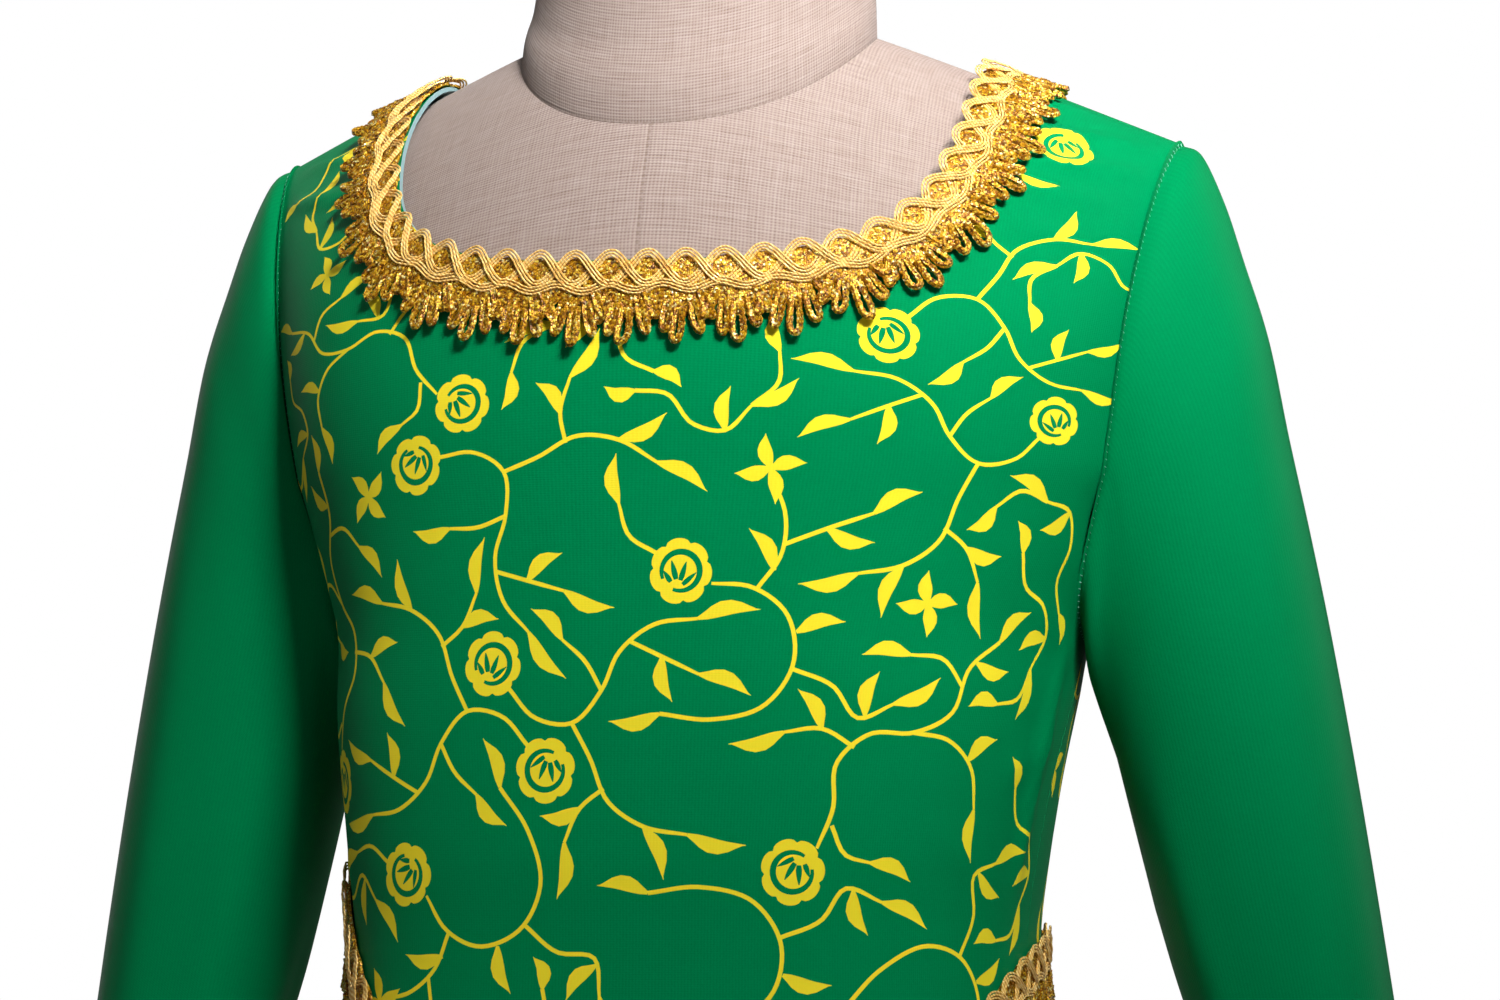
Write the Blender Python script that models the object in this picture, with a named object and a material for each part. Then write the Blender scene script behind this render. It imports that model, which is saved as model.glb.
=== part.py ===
"""A child's long green stretch costume dress on a linen-covered dress form.

The front faces -Y, up is +Z, the floor is at z = 0 and every length is in metres.
One surface gives the shape of the whole dress. An angle runs round the body from the centre
front, and a level runs up it: the level is the height as far as the yoke, and above that it
rolls over to the shoulder line. Each panel is a grid on that surface with a wall behind it.
"""

import math

import bmesh
import bpy
import numpy as np

CLOTH_WALL = 0.0014
SEAM_GAP = 0.0003
TRIM_WALL = 0.0016
TRIM_LIFT = 0.0009
FORM_INSET = 0.0038
FORM_SHOULDER_DROP = 0.0027

# Sections of the dress, from the hem up to the yoke.
SECTION_COLUMNS = ("level", "half_width", "half_depth", "centre_y")
SECTIONS = (
    (0.035, 0.2280, 0.1780, 0.000),
    (0.150, 0.2080, 0.1620, -0.002),
    (0.250, 0.1880, 0.1470, -0.003),
    (0.350, 0.1660, 0.1300, -0.004),
    (0.450, 0.1430, 0.1130, -0.006),
    (0.520, 0.1280, 0.1010, -0.008),
    (0.580, 0.1170, 0.0920, -0.009),
    (0.640, 0.1085, 0.0850, -0.010),
    (0.678, 0.1056, 0.0818, -0.010),
    (0.700, 0.1052, 0.0808, -0.010),
    (0.722, 0.1076, 0.0822, -0.009),
    (0.740, 0.1100, 0.0834, -0.007),
    (0.771, 0.1146, 0.0850, -0.004),
    (0.790, 0.1168, 0.0856, -0.002),
    (0.815, 0.1262, 0.0856, 0.000),
    (0.840, 0.1355, 0.0852, 0.001),
)
# The form follows the dress in between, with its own slim hips and shoulder ends.
FORM_SECTIONS = (
    (0.560, 0.0960, 0.0740, -0.010),
    (0.566, 0.1020, 0.0790, -0.010),
    (0.580, 0.1060, 0.0825, -0.010),
    (0.610, 0.1070, 0.0832, -0.010),
    (0.640, 0.1060, 0.0825, -0.010),
) + SECTIONS[8:-2] + (
    (0.815, 0.1220, 0.0856, 0.000),
    (0.840, 0.1265, 0.0852, 0.001),
)

YOKE_LEVEL = 0.840
ROLL_LENGTH = 0.200
RIDGE_LEVEL = YOKE_LEVEL + ROLL_LENGTH
SHOULDER_SPREAD = 0.022
FORM_SHOULDER_SPREAD = 0.0145
SQUARENESS_BELOW = 0.04
SQUARENESS_LOST = 0.06
SIDE_LEAN = 0.020
SIDE_LEAN_STARTS = 0.740
TIP_X = 0.1455
TIP_Z = 0.943
SHOULDER_SLOPE = 0.417
RIDGE_SOFTENING = 0.030
NECK_POINT_X = 0.088
NECK_POINT_Y = 0.010
RIDGE_LEAN = 0.26

# Skirt flares: where each one stands round the body, how far it swells at the hem, how wide it is.
FLARE_COLUMNS = ("degrees", "swell", "half_width_degrees")
FLARES = (
    (-168.0, 0.012, 13.0),
    (-139.0, 0.009, 11.0),
    (-112.0, 0.014, 12.0),
    (-84.0, 0.010, 12.0),
    (-57.0, 0.013, 11.0),
    (-30.0, 0.009, 11.0),
    (-6.0, 0.012, 12.0),
    (21.0, 0.010, 11.0),
    (47.0, 0.014, 12.0),
    (76.0, 0.010, 12.0),
    (104.0, 0.013, 12.0),
    (132.0, 0.009, 11.0),
    (160.0, 0.012, 12.0),
)
FLARE_TOP = 0.600
HEM_LEVEL = 0.035

# Height of the girdle's upper edge round the body. The left side sits a little higher.
GIRDLE_COLUMNS = ("degrees", "level")
GIRDLE = (
    (0.0, 0.606),
    (12.0, 0.618),
    (30.0, 0.643),
    (45.0, 0.664),
    (60.0, 0.684),
    (75.0, 0.700),
    (90.0, 0.710),
    (110.0, 0.714),
    (140.0, 0.711),
    (180.0, 0.708),
)
GIRDLE_TILT = 0.016
SEAM_BELOW_GIRDLE_TOP = 0.012

# Side seam and armhole edge, from the underarm up to the shoulder tip.
SIDE_SEAM_COLUMNS = ("level", "degrees")
SIDE_SEAM = ((0.640, 90.0), (0.720, 90.0), (0.752, 92.8), (0.788, 97.5))
ARMHOLE_COLUMNS = ("degrees", "level")
ARMHOLE_FRONT = (
    (97.5, 0.7880),
    (88.3, 0.7925),
    (79.9, 0.8030),
    (71.6, 0.8330),
    (69.4, 0.8640),
    (67.9, 0.8976),
    (67.6, 0.9307),
    (67.9, 0.9660),
    (68.4, 0.9983),
    (68.9, 1.0400),
)
ARMHOLE_BACK = (
    (97.5, 0.7880),
    (104.3, 0.7930),
    (107.3, 0.8060),
    (108.2, 0.8360),
    (109.6, 0.8703),
    (111.0, 0.9035),
    (112.0, 0.9360),
    (112.2, 0.9668),
    (111.8, 0.9998),
    (111.1, 1.0400),
)

# Neck edge from the centre to the shoulder line.
NECKLINE_COLUMNS = ("degrees", "level")
NECKLINE_FRONT = (
    (0.0, 0.8938),
    (4.0, 0.8941),
    (12.5, 0.8973),
    (21.3, 0.9045),
    (27.5, 0.9142),
    (32.1, 0.9288),
    (35.0, 0.9519),
    (36.3, 0.9787),
    (36.4, 1.0038),
    (36.2, 1.0204),
    (35.9, 1.0400),
)
NECKLINE_BACK = (
    (180.0, 0.9378),
    (167.0, 0.9449),
    (157.0, 0.9595),
    (150.4, 0.9783),
    (146.0, 1.0007),
    (144.3, 1.0230),
    (144.1, 1.0400),
)

# Sleeve sections: the upper outer point, the lower inner point, half the depth and its middle.
SLEEVE_COLUMNS = ("outer_x", "outer_z", "inner_x", "inner_z", "half_depth", "centre_y")
SLEEVE = (
    (0.1457, 0.9430, 0.1120, 0.7880, 0.0300, 0.0200),
    (0.1520, 0.9390, 0.1140, 0.7842, 0.0305, 0.0200),
    (0.1590, 0.9240, 0.1160, 0.7792, 0.0312, 0.0203),
    (0.1650, 0.9060, 0.1182, 0.7740, 0.0318, 0.0207),
    (0.1725, 0.8820, 0.1212, 0.7670, 0.0322, 0.0213),
    (0.1785, 0.8520, 0.1250, 0.7550, 0.0322, 0.0220),
    (0.1850, 0.8220, 0.1295, 0.7370, 0.0315, 0.0228),
    (0.1915, 0.7900, 0.1345, 0.7170, 0.0305, 0.0235),
    (0.1990, 0.7490, 0.1420, 0.6880, 0.0290, 0.0240),
    (0.2060, 0.7070, 0.1500, 0.6620, 0.0276, 0.0245),
    (0.2130, 0.6620, 0.1576, 0.6300, 0.0262, 0.0250),
    (0.2205, 0.6120, 0.1660, 0.5930, 0.0248, 0.0250),
    (0.2275, 0.5600, 0.1745, 0.5490, 0.0236, 0.0250),
)
SLEEVE_BOW_ENDS = 5

# Looped lace edge: how wide the trim is at the long middle loop and at its two neighbours.
TRIM_WIDTH_LONG = 0.0270
TRIM_WIDTH_SHORT = 0.0220
NECK_MOTIFS = 36
GIRDLE_MOTIFS = 40
TRIM_STEPS_PER_MOTIF = 4

# Steps across the trim's width, and points along each half of the neck edge.
TRIM_SHARES = (0.0, 0.45, 1.0)
NECK_SAMPLES = 60

# How finely the panels are divided.
PANEL_COLUMNS = 32
STRAP_COLUMNS = 7
SEAM_ROWS = 4
ARMHOLE_POINTS = 13
SKIRT_ROW_SHARES = (0.0, 0.2, 0.4, 0.58, 0.73, 0.85, 0.93, 0.97, 1.0)

NECK_COLUMNS = ("centre_y", "centre_z", "half_width", "half_depth", "tilt_degrees")
NECK = (
    (-0.0075, 0.9300, 0.0560, 0.0540, 25.0),
    (-0.0092, 0.9740, 0.0555, 0.0543, 25.0),
    (-0.0040, 0.9900, 0.0532, 0.0530, 20.0),
    (0.0005, 1.0080, 0.0518, 0.0515, 12.0),
    (0.0040, 1.0260, 0.0510, 0.0520, 5.0),
    (0.0050, 1.0400, 0.0506, 0.0514, 0.0),
)
CAP_RADIUS = 0.0500
CAP_HEIGHT = 0.0120
POLE_RADIUS = 0.0125
BASE_RADIUS = 0.1450
BASE_THICKNESS = 0.0140
BASE_RIM = 0.0030

GREEN = (0.0, 0.20, 0.07, 1.0)
GREEN_PRINT = (0.10, 0.30, 0.06, 1.0)
GOLD = (0.68, 0.42, 0.08, 1.0)
LINEN = (0.58, 0.48, 0.40, 1.0)
WOOD = (0.55, 0.38, 0.22, 1.0)
STEEL = (0.60, 0.60, 0.60, 1.0)
IRON = (0.80, 0.79, 0.77, 1.0)


def smooth_value(at, places, values):
    """A smooth curve through a table: cubic pieces whose slopes come from the neighbours."""
    places = np.asarray(places, float)
    values = np.asarray(values, float)
    slopes = np.gradient(values, places)
    at = np.clip(at, places[0], places[-1])
    low = np.clip(np.searchsorted(places, at, side="right") - 1, 0, len(places) - 2)
    span = places[low + 1] - places[low]
    t = (at - places[low]) / span
    start = (2 * t**3 - 3 * t**2 + 1) * values[low] + (t**3 - 2 * t**2 + t) * span * slopes[low]
    end = (3 * t**2 - 2 * t**3) * values[low + 1] + (t**3 - t**2) * span * slopes[low + 1]
    return start + end


def flare_swell(angle, level):
    """How far the flares of the skirt stand out: none at their top and all of it at the hem."""
    drop = np.clip((FLARE_TOP - level) / (FLARE_TOP - HEM_LEVEL), 0.0, 1.0)
    swell = np.zeros(np.broadcast(angle, level).shape)
    for degrees, height, half_width in FLARES:
        away = (np.degrees(angle) - degrees + 180.0) % 360.0 - 180.0
        swell = swell + height * np.exp(-((away / half_width) ** 2))
    return swell * drop**1.4


def dress_point(angle, level, sections=SECTIONS, spread=SHOULDER_SPREAD, inset=0.0, drop=0.0, flares=True):
    """The dress surface: rounded sections up to the yoke, then a roll back to the shoulder line."""
    angle = np.asarray(angle, float)
    level = np.asarray(level, float)
    table = np.array(sections)
    below = np.minimum(level, YOKE_LEVEL)
    turn = np.maximum(level - YOKE_LEVEL, 0.0) / ROLL_LENGTH * math.pi / 2
    out = flare_swell(angle, level) if flares else 0.0
    half_width = smooth_value(below, table[:, 0], table[:, 1]) - inset + out
    half_width = half_width + spread * np.sin(turn)
    half_depth = smooth_value(below, table[:, 0], table[:, 2]) - inset + out
    lean = np.clip((level - SIDE_LEAN_STARTS) / (YOKE_LEVEL - SIDE_LEAN_STARTS), 0.0, 1.0)
    lean = SIDE_LEAN * lean * lean * (3 - 2 * lean)
    centre_y = smooth_value(below, table[:, 0], table[:, 3]) + lean * np.sin(angle) ** 2
    square = SQUARENESS_BELOW - SQUARENESS_LOST * np.sin(turn) ** 2
    x = half_width * (np.sin(angle) + square * np.sin(3 * angle)) / (1 - square)
    depth = half_depth * (np.cos(angle) - square * np.cos(3 * angle)) / (1 - square)
    away = np.hypot(x, RIDGE_SOFTENING)
    ridge_z = TIP_Z + SHOULDER_SLOPE * (TIP_X - away) - drop
    ridge_y = NECK_POINT_Y + RIDGE_LEAN * (away - NECK_POINT_X)
    z = np.where(turn > 0, YOKE_LEVEL + (ridge_z - YOKE_LEVEL) * np.sin(turn), level)
    y = centre_y + (ridge_y - centre_y) * (1 - np.cos(turn)) - depth * np.cos(turn)
    return np.stack([x, y, z], -1)


def form_point(angle, level):
    """The form's own surface, a little inside the dress. The dress rests on its shoulders."""
    return dress_point(
        angle, level, FORM_SECTIONS, FORM_SHOULDER_SPREAD, FORM_INSET, FORM_SHOULDER_DROP, False
    )


def unit(vectors):
    return vectors / np.maximum(np.linalg.norm(vectors, axis=-1, keepdims=True), 1e-12)


def dress_normal(angle, level):
    """Outward direction of the dress surface, from two short steps along it."""
    step = 1e-3
    level = np.minimum(level, RIDGE_LEVEL - 2 * step)
    across = dress_point(angle + step, level) - dress_point(angle - step, level)
    up = dress_point(angle, level + step) - dress_point(angle, level - step)
    return unit(np.cross(across, up))


def girdle_level(angle):
    """Upper edge of the girdle, lower at the centre front and on the right."""
    table = np.array(GIRDLE)
    bare = smooth_value(np.abs(np.degrees(angle)), table[:, 0], table[:, 1])
    return bare - GIRDLE_TILT * np.sin(angle)


def waist_seam_level(angle):
    return girdle_level(angle) - SEAM_BELOW_GIRDLE_TOP


def even_steps(points, count):
    """Points at even distances along a line through (angle, level) pairs."""
    points = np.asarray(points, float)
    places = dress_point(points[:, 0], points[:, 1])
    run = np.concatenate([[0.0], np.cumsum(np.linalg.norm(np.diff(places, axis=0), axis=1))])
    at = np.linspace(0.0, run[-1], count)
    angle = smooth_value(at, run, points[:, 0])
    level = smooth_value(at, run, points[:, 1])
    return np.stack([angle, level], -1)


def edge_line(table, count):
    """A table of degrees and levels as evenly spaced points."""
    rows = np.array(table, float)
    rows[:, 0] = np.radians(rows[:, 0])
    return even_steps(rows, count)


def side_seam_angle(level):
    table = np.array(SIDE_SEAM)
    return np.radians(smooth_value(level, table[:, 0], table[:, 1]))


def panel_side(armhole, side):
    """One side of a bodice panel: up the side seam, then round the armhole to the shoulder.
    side is 1 for the left of the dress and -1 for its right."""
    start = float(waist_seam_level(side * math.pi / 2)) + SEAM_GAP / 2
    levels = np.linspace(start, SIDE_SEAM[-1][0], SEAM_ROWS + 1)[:-1]
    seam = np.stack([side_seam_angle(levels), levels], -1)
    line = np.concatenate([seam, edge_line(armhole, ARMHOLE_POINTS)])
    return line * np.array([side, 1.0])


def filled_patch(bottom, top, left, right):
    """A grid between four edges, blended from them and from their corners."""
    rows, columns = len(left), len(bottom)
    u = np.linspace(0, 1, columns)[None, :, None]
    v = np.linspace(0, 1, rows)[:, None, None]
    across = (1 - u) * left[:, None] + u * right[:, None]
    upward = (1 - v) * bottom[None] + v * top[None]
    low = (1 - u) * bottom[0] + u * bottom[-1]
    high = (1 - u) * top[0] + u * top[-1]
    return across + upward - ((1 - v) * low + v * high)


def evened_columns(grid, kept):
    """The same patch with its rows spread evenly up each column, but for the outer columns."""
    columns = grid.shape[1]
    found = grid.copy()
    for column in range(columns):
        line = grid[:, column]
        run = np.concatenate([[0.0], np.cumsum(np.abs(np.diff(line[:, 1])) + 1e-6)])
        at = np.linspace(0.0, run[-1], len(line))
        even = np.stack([np.interp(at, run, line[:, 0]), np.interp(at, run, line[:, 1])], -1)
        share = min(1.0, min(column, columns - 1 - column) / kept)
        share = share * share * (3 - 2 * share)
        found[:, column] = (1 - share) * line + share * even
    return found


def closed_wall(outer, inner, around=False):
    """Points and faces of a wall between two grids, with a rim. around joins first to last column."""
    rows, columns = outer.shape[:2]
    points = np.concatenate([outer.reshape(-1, 3), inner.reshape(-1, 3)])
    behind = rows * columns
    faces = []
    last = columns if around else columns - 1
    for r in range(rows - 1):
        for c in range(last):
            a = r * columns + c
            b = r * columns + (c + 1) % columns
            faces.append((a, b, b + columns, a + columns))
            faces.append((behind + a, behind + a + columns, behind + b + columns, behind + b))
    for c in range(last):
        a = c
        b = (c + 1) % columns
        faces.append((b, a, behind + a, behind + b))
        a += (rows - 1) * columns
        b += (rows - 1) * columns
        faces.append((a, b, behind + b, behind + a))
    if not around:
        for r in range(rows - 1):
            a = r * columns
            faces.append((a, a + columns, behind + a + columns, behind + a))
            a += columns - 1
            faces.append((a + columns, a, behind + a, behind + a + columns))
    return points, faces


def material_named(name, colour, roughness, metallic=0.0):
    material = bpy.data.materials.new(name)
    material.use_nodes = True
    shader = material.node_tree.nodes["Principled BSDF"]
    shader.inputs["Base Color"].default_value = colour
    shader.inputs["Roughness"].default_value = roughness
    shader.inputs["Metallic"].default_value = metallic
    material.diffuse_color = colour
    return material


def add_node(name, points, faces, material):
    """A mesh object of its own. Its faces are turned outwards if they point inwards."""
    mesh = bpy.data.meshes.new(name)
    mesh.from_pydata([tuple(p) for p in np.asarray(points).tolist()], [], faces)
    work = bmesh.new()
    work.from_mesh(mesh)
    bmesh.ops.remove_doubles(work, verts=work.verts, dist=1e-6)
    bmesh.ops.triangulate(work, faces=work.faces)
    if work.calc_volume(signed=True) < 0:
        bmesh.ops.reverse_faces(work, faces=work.faces)
    work.to_mesh(mesh)
    work.free()
    mesh.materials.append(material)
    node = bpy.data.objects.new(name, mesh)
    part.objects.link(node)
    return node


def mirrored_line(line):
    """The same line on the other side of the body."""
    return line * np.array([-1.0, 1.0])


def sleeve_ovals(around):
    """Plain oval rings of the sleeve, row by row, before its head is fitted to the armhole."""
    rows = []
    for outer_x, outer_z, inner_x, inner_z, half_depth, centre_y in SLEEVE:
        outer = np.array([outer_x, centre_y, outer_z])
        inner = np.array([inner_x, centre_y, inner_z])
        middle = (outer + inner) / 2
        reach = (outer - inner) / 2
        forward = np.array([0.0, -half_depth, 0.0])
        turn = np.cos(around)[:, None] * reach + np.sin(around)[:, None] * forward
        rows.append(middle + turn)
    return np.array(rows)


def armhole_loop():
    """The armhole edge as one loop: shoulder tip, down the front, underarm, up the back."""
    front = edge_line(ARMHOLE_FRONT, ARMHOLE_POINTS)[::-1]
    back = edge_line(ARMHOLE_BACK, ARMHOLE_POINTS)
    return np.concatenate([front[:-1], back[:-1]])


def seam_directions(loop):
    """For each point of the armhole: the wall direction of the bodice and of the sleeve there,
    each already long enough for its wall, and the way across the gap between the two."""
    count = len(loop)
    edge = dress_point(loop[:, 0], loop[:, 1])
    around = np.linspace(0, 2 * math.pi, count, endpoint=False)
    ovals = sleeve_ovals(around)
    along = unit(ovals[2] - ovals[0])
    tangent = unit(np.roll(edge, -1, axis=0) - np.roll(edge, 1, axis=0))
    body_out = dress_normal(loop[:, 0], loop[:, 1])
    sleeve_out = unit(np.cross(along, tangent))
    away = edge - edge.mean(axis=0)
    facing = np.sign((sleeve_out * away).sum(-1, keepdims=True))
    sleeve_out = sleeve_out * np.where(facing == 0, 1.0, facing)
    match = (body_out * sleeve_out).sum(-1, keepdims=True)
    share = np.clip((match + 0.2) / 0.6, 0.0, 1.0)
    share = share * share * (3 - 2 * share)
    middle = unit(body_out + sleeve_out + 1e-9)
    stretch = 1.0 / np.sqrt(np.clip((1 + match) / 2, 0.5, 1.0))
    body_wall = unit((1 - share) * body_out + share * middle) * (1 + share * (stretch - 1))
    sleeve_wall = unit((1 - share) * sleeve_out + share * middle) * (1 + share * (stretch - 1))
    across = unit(np.cross(tangent, middle))
    across = across * np.sign((across * along).sum(-1, keepdims=True))
    gap = share * across + (1 - share) * body_out
    return edge, body_wall, sleeve_wall, unit(gap)


def bodice_panel(name, is_front, material):
    """Front or back of the bodice, from the waist seam up to the shoulder seams and neck edge."""
    armhole = ARMHOLE_FRONT if is_front else ARMHOLE_BACK
    neck = NECKLINE_FRONT if is_front else NECKLINE_BACK
    whole_turn = np.array([2 * math.pi, 0.0])
    half_neck = edge_line(neck, PANEL_COLUMNS // 2 - STRAP_COLUMNS + 1)
    strap = np.linspace(math.radians(armhole[-1][0]), math.radians(neck[-1][0]), STRAP_COLUMNS + 1)
    ridge = np.stack([strap, np.full(STRAP_COLUMNS + 1, RIDGE_LEVEL)], -1)
    # Both panels run in the direction of the angle: the front from right to left of the dress,
    # the back on round the body from left to right.
    if is_front:
        first, last = panel_side(armhole, -1), panel_side(armhole, 1)
        neck_line = np.concatenate([mirrored_line(half_neck)[::-1], half_neck[1:]])
        near, far = mirrored_line(ridge), ridge[::-1]
    else:
        first, last = panel_side(armhole, 1), panel_side(armhole, -1) + whole_turn
        neck_line = np.concatenate([half_neck[::-1], (mirrored_line(half_neck) + whole_turn)[1:]])
        near, far = ridge, (mirrored_line(ridge) + whole_turn)[::-1]
    top = np.concatenate([near[:-1], neck_line, far[1:]])
    bottom_angle = np.linspace(first[0, 0], last[0, 0], PANEL_COLUMNS + 1)
    bottom_level = waist_seam_level((bottom_angle + math.pi) % (2 * math.pi) - math.pi)
    bottom = np.stack([bottom_angle, bottom_level + SEAM_GAP / 2], -1)
    grid = evened_columns(filled_patch(bottom, top, first, last), STRAP_COLUMNS)
    outer = dress_point(grid[..., 0], grid[..., 1])
    wall = dress_normal(grid[..., 0], grid[..., 1])
    # At the armhole the wall is mitred to the sleeve's.
    loop = armhole_loop()
    _, body_wall, _, _ = seam_directions(loop)
    if is_front:
        along_edge = np.arange(ARMHOLE_POINTS)[::-1]
    else:
        along_edge = np.arange(ARMHOLE_POINTS - 1, 2 * ARMHOLE_POINTS - 1) % len(loop)
    for column in (0, -1):
        side = np.sign(outer[SEAM_ROWS, column, 0])
        wall[SEAM_ROWS:, column] = body_wall[along_edge] * np.array([side, 1.0, 1.0])
    # Along the shoulder seam both walls stand straight, so that they meet edge to edge.
    wall[-1, : STRAP_COLUMNS + 1, 1] = 0.0
    wall[-1, -STRAP_COLUMNS - 1 :, 1] = 0.0
    inner = outer - wall * CLOTH_WALL
    apart = SEAM_GAP / 2 * (-1.0 if is_front else 1.0)
    for side_points in (outer, inner):
        side_points[-1, : STRAP_COLUMNS + 1, 1] += apart
        side_points[-1, -STRAP_COLUMNS - 1 :, 1] += apart
        side_points[: SEAM_ROWS + 1, 0, 1] += apart
        side_points[: SEAM_ROWS + 1, -1, 1] += apart
    points, faces = closed_wall(outer, inner)
    return add_node(name, points, faces, material)


def skirt_panel(name, is_front, material):
    """Half of the A-line skirt, from the waist seam to the hem, between the side seams."""
    columns = PANEL_COLUMNS
    start = math.pi / 2
    if is_front:
        angle = np.linspace(-start, start, columns + 1)
    else:
        angle = np.linspace(start, 2 * math.pi - start, columns + 1)
    top = waist_seam_level((angle + math.pi) % (2 * math.pi) - math.pi) - SEAM_GAP / 2
    share = np.array(SKIRT_ROW_SHARES)[:, None]
    level = HEM_LEVEL + (top[None] - HEM_LEVEL) * share
    angles = np.broadcast_to(angle, level.shape)
    outer = dress_point(angles, level)
    inner = outer - dress_normal(angles, level) * CLOTH_WALL
    toward = -1.0 if is_front else 1.0
    for grid_points in (outer, inner):
        for column in (0, -1):
            grid_points[:, column, 1] += toward * SEAM_GAP / 2
    points, faces = closed_wall(outer, inner)
    return add_node(name, points, faces, material)


def sleeve(name, side, material):
    """A long sleeve: rings from the armhole edge down to the open wrist. side is 1 or -1."""
    loop = armhole_loop()
    edge, _, sleeve_wall, gap = seam_directions(loop)
    around = np.linspace(0, 2 * math.pi, len(loop), endpoint=False)
    ovals = sleeve_ovals(around)
    bow = edge - ovals[0]
    rings = ovals.copy()
    for row in range(len(rings)):
        fade = max(0.0, 1.0 - row / SLEEVE_BOW_ENDS)
        rings[row] += bow * fade * fade * (3 - 2 * fade)
    rings[0] = edge + gap * SEAM_GAP
    ring_step = np.roll(rings, -1, axis=1) - np.roll(rings, 1, axis=1)
    down_step = np.gradient(rings, axis=0)
    out = unit(np.cross(ring_step, down_step))
    middle = rings.mean(axis=1, keepdims=True)
    out = out * np.sign((out * (rings - middle)).sum(-1).mean())
    wall = out.copy()
    wall[0] = sleeve_wall
    inner = rings - wall * CLOTH_WALL
    mirror = np.array([side, 1.0, 1.0])
    points, faces = closed_wall(rings * mirror, inner * mirror, around=True)
    return add_node(name, points, faces, material)


def lace_width(place):
    """Width of the trim along one repeat: longest at the middle loop, short at the ends."""
    return TRIM_WIDTH_SHORT - 0.001 + (TRIM_WIDTH_LONG - TRIM_WIDTH_SHORT + 0.001) * place


def over_point(angle, level):
    """The dress surface with levels past the shoulder line running on down the back."""
    behind = level > RIDGE_LEVEL
    angle = np.where(behind, math.pi - angle, angle)
    level = np.where(behind, 2 * RIDGE_LEVEL - level, level)
    return dress_point(angle, level)


def over_steps(angle, level):
    """Movement on that surface for one unit of angle and for one unit of level."""
    step = 1e-4
    by_angle = (over_point(angle + step, level) - over_point(angle - step, level)) / (2 * step)
    by_level = (over_point(angle, level + step) - over_point(angle, level - step)) / (2 * step)
    return by_angle, by_level


def neck_half_line(count):
    """The neck edge from the centre front over the shoulder line to the centre back."""
    front = edge_line(NECKLINE_FRONT, NECK_SAMPLES)
    back = edge_line(NECKLINE_BACK, NECK_SAMPLES)[::-1]
    back = np.stack([math.pi - back[:, 0], 2 * RIDGE_LEVEL - back[:, 1]], -1)
    line = np.concatenate([front, back[1:]])
    places = over_point(line[:, 0], line[:, 1])
    run = np.concatenate([[0.0], np.cumsum(np.linalg.norm(np.diff(places, axis=0), axis=1))])
    at = np.linspace(0.0, run[-1], count)
    return np.interp(at, run, line[:, 0]), np.interp(at, run, line[:, 1])


def neck_trim(material):
    """Lace round the neck edge, laid off square to it over the panels and the shoulders."""
    half = NECK_MOTIFS * TRIM_STEPS_PER_MOTIF // 2 + 1
    angle, level = neck_half_line(half)
    beat = np.abs(np.cos(np.arange(half) * math.pi / TRIM_STEPS_PER_MOTIF))
    width = lace_width(beat)
    places = over_point(angle, level)
    along = np.gradient(places, axis=0)
    along[0, 1:] = 0.0
    along[-1, 1:] = 0.0
    along = unit(along)
    by_angle, by_level = over_steps(angle, level)
    across = unit(np.cross(along, unit(np.cross(by_angle, by_level))))
    ways = [np.linalg.lstsq(np.stack(pair, -1), way, rcond=None)[0] for *pair, way in zip(by_angle, by_level, across)]
    ways = np.array(ways)
    share = np.array(TRIM_SHARES)[:, None]
    grid_angle = angle + ways[:, 0] * width * share
    grid_level = level + ways[:, 1] * width * share
    base = over_point(grid_angle, grid_level)
    by_angle, by_level = over_steps(grid_angle, grid_level)
    out = unit(np.cross(by_angle, by_level))
    inner = base + out * TRIM_LIFT
    outer = base + out * (TRIM_LIFT + TRIM_WALL)
    flip = np.array([-1.0, 1.0, 1.0])
    outer = np.concatenate([outer, (outer * flip)[:, ::-1][:, 1:-1]], axis=1)
    inner = np.concatenate([inner, (inner * flip)[:, ::-1][:, 1:-1]], axis=1)
    points, faces = closed_wall(outer, inner, around=True)
    return add_node("neck_trim", points, faces, material)


def girdle_trim(material):
    """Lace round the pointed waist seam, its loops hanging down over the skirt."""
    count = GIRDLE_MOTIFS * TRIM_STEPS_PER_MOTIF
    angle = np.linspace(-math.pi, math.pi, 4001)
    places = dress_point(angle, girdle_level(angle))
    run = np.concatenate([[0.0], np.cumsum(np.linalg.norm(np.diff(places, axis=0), axis=1))])
    at = np.linspace(0.0, run[-1], count + 1)[:-1]
    angle = np.interp(at, run, angle)
    level = girdle_level(angle)
    beat = np.abs(np.cos(np.arange(count) * math.pi / TRIM_STEPS_PER_MOTIF))
    width = lace_width(beat)
    line = np.stack([angle, level], -1)
    # The band's width is laid off square to its edge, turned less near the pointed front.
    places = dress_point(angle, level)
    along = unit(np.roll(places, -1, axis=0) - np.roll(places, 1, axis=0))
    rows = []
    for share in TRIM_SHARES:
        reach = width * share
        drop = reach * np.maximum(np.hypot(along[:, 0], along[:, 1]), 0.4)
        slide = reach * along[:, 2] / 0.100
        rows.append(np.stack([line[:, 0] + slide, line[:, 1] - drop], -1))
    grid = np.array(rows)
    base = dress_point(grid[..., 0], grid[..., 1])
    out = dress_normal(grid[..., 0], grid[..., 1])
    inner = base + out * TRIM_LIFT
    outer = base + out * (TRIM_LIFT + TRIM_WALL)
    points, faces = closed_wall(outer, inner, around=True)
    return add_node("girdle_trim", points, faces, material)


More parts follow.
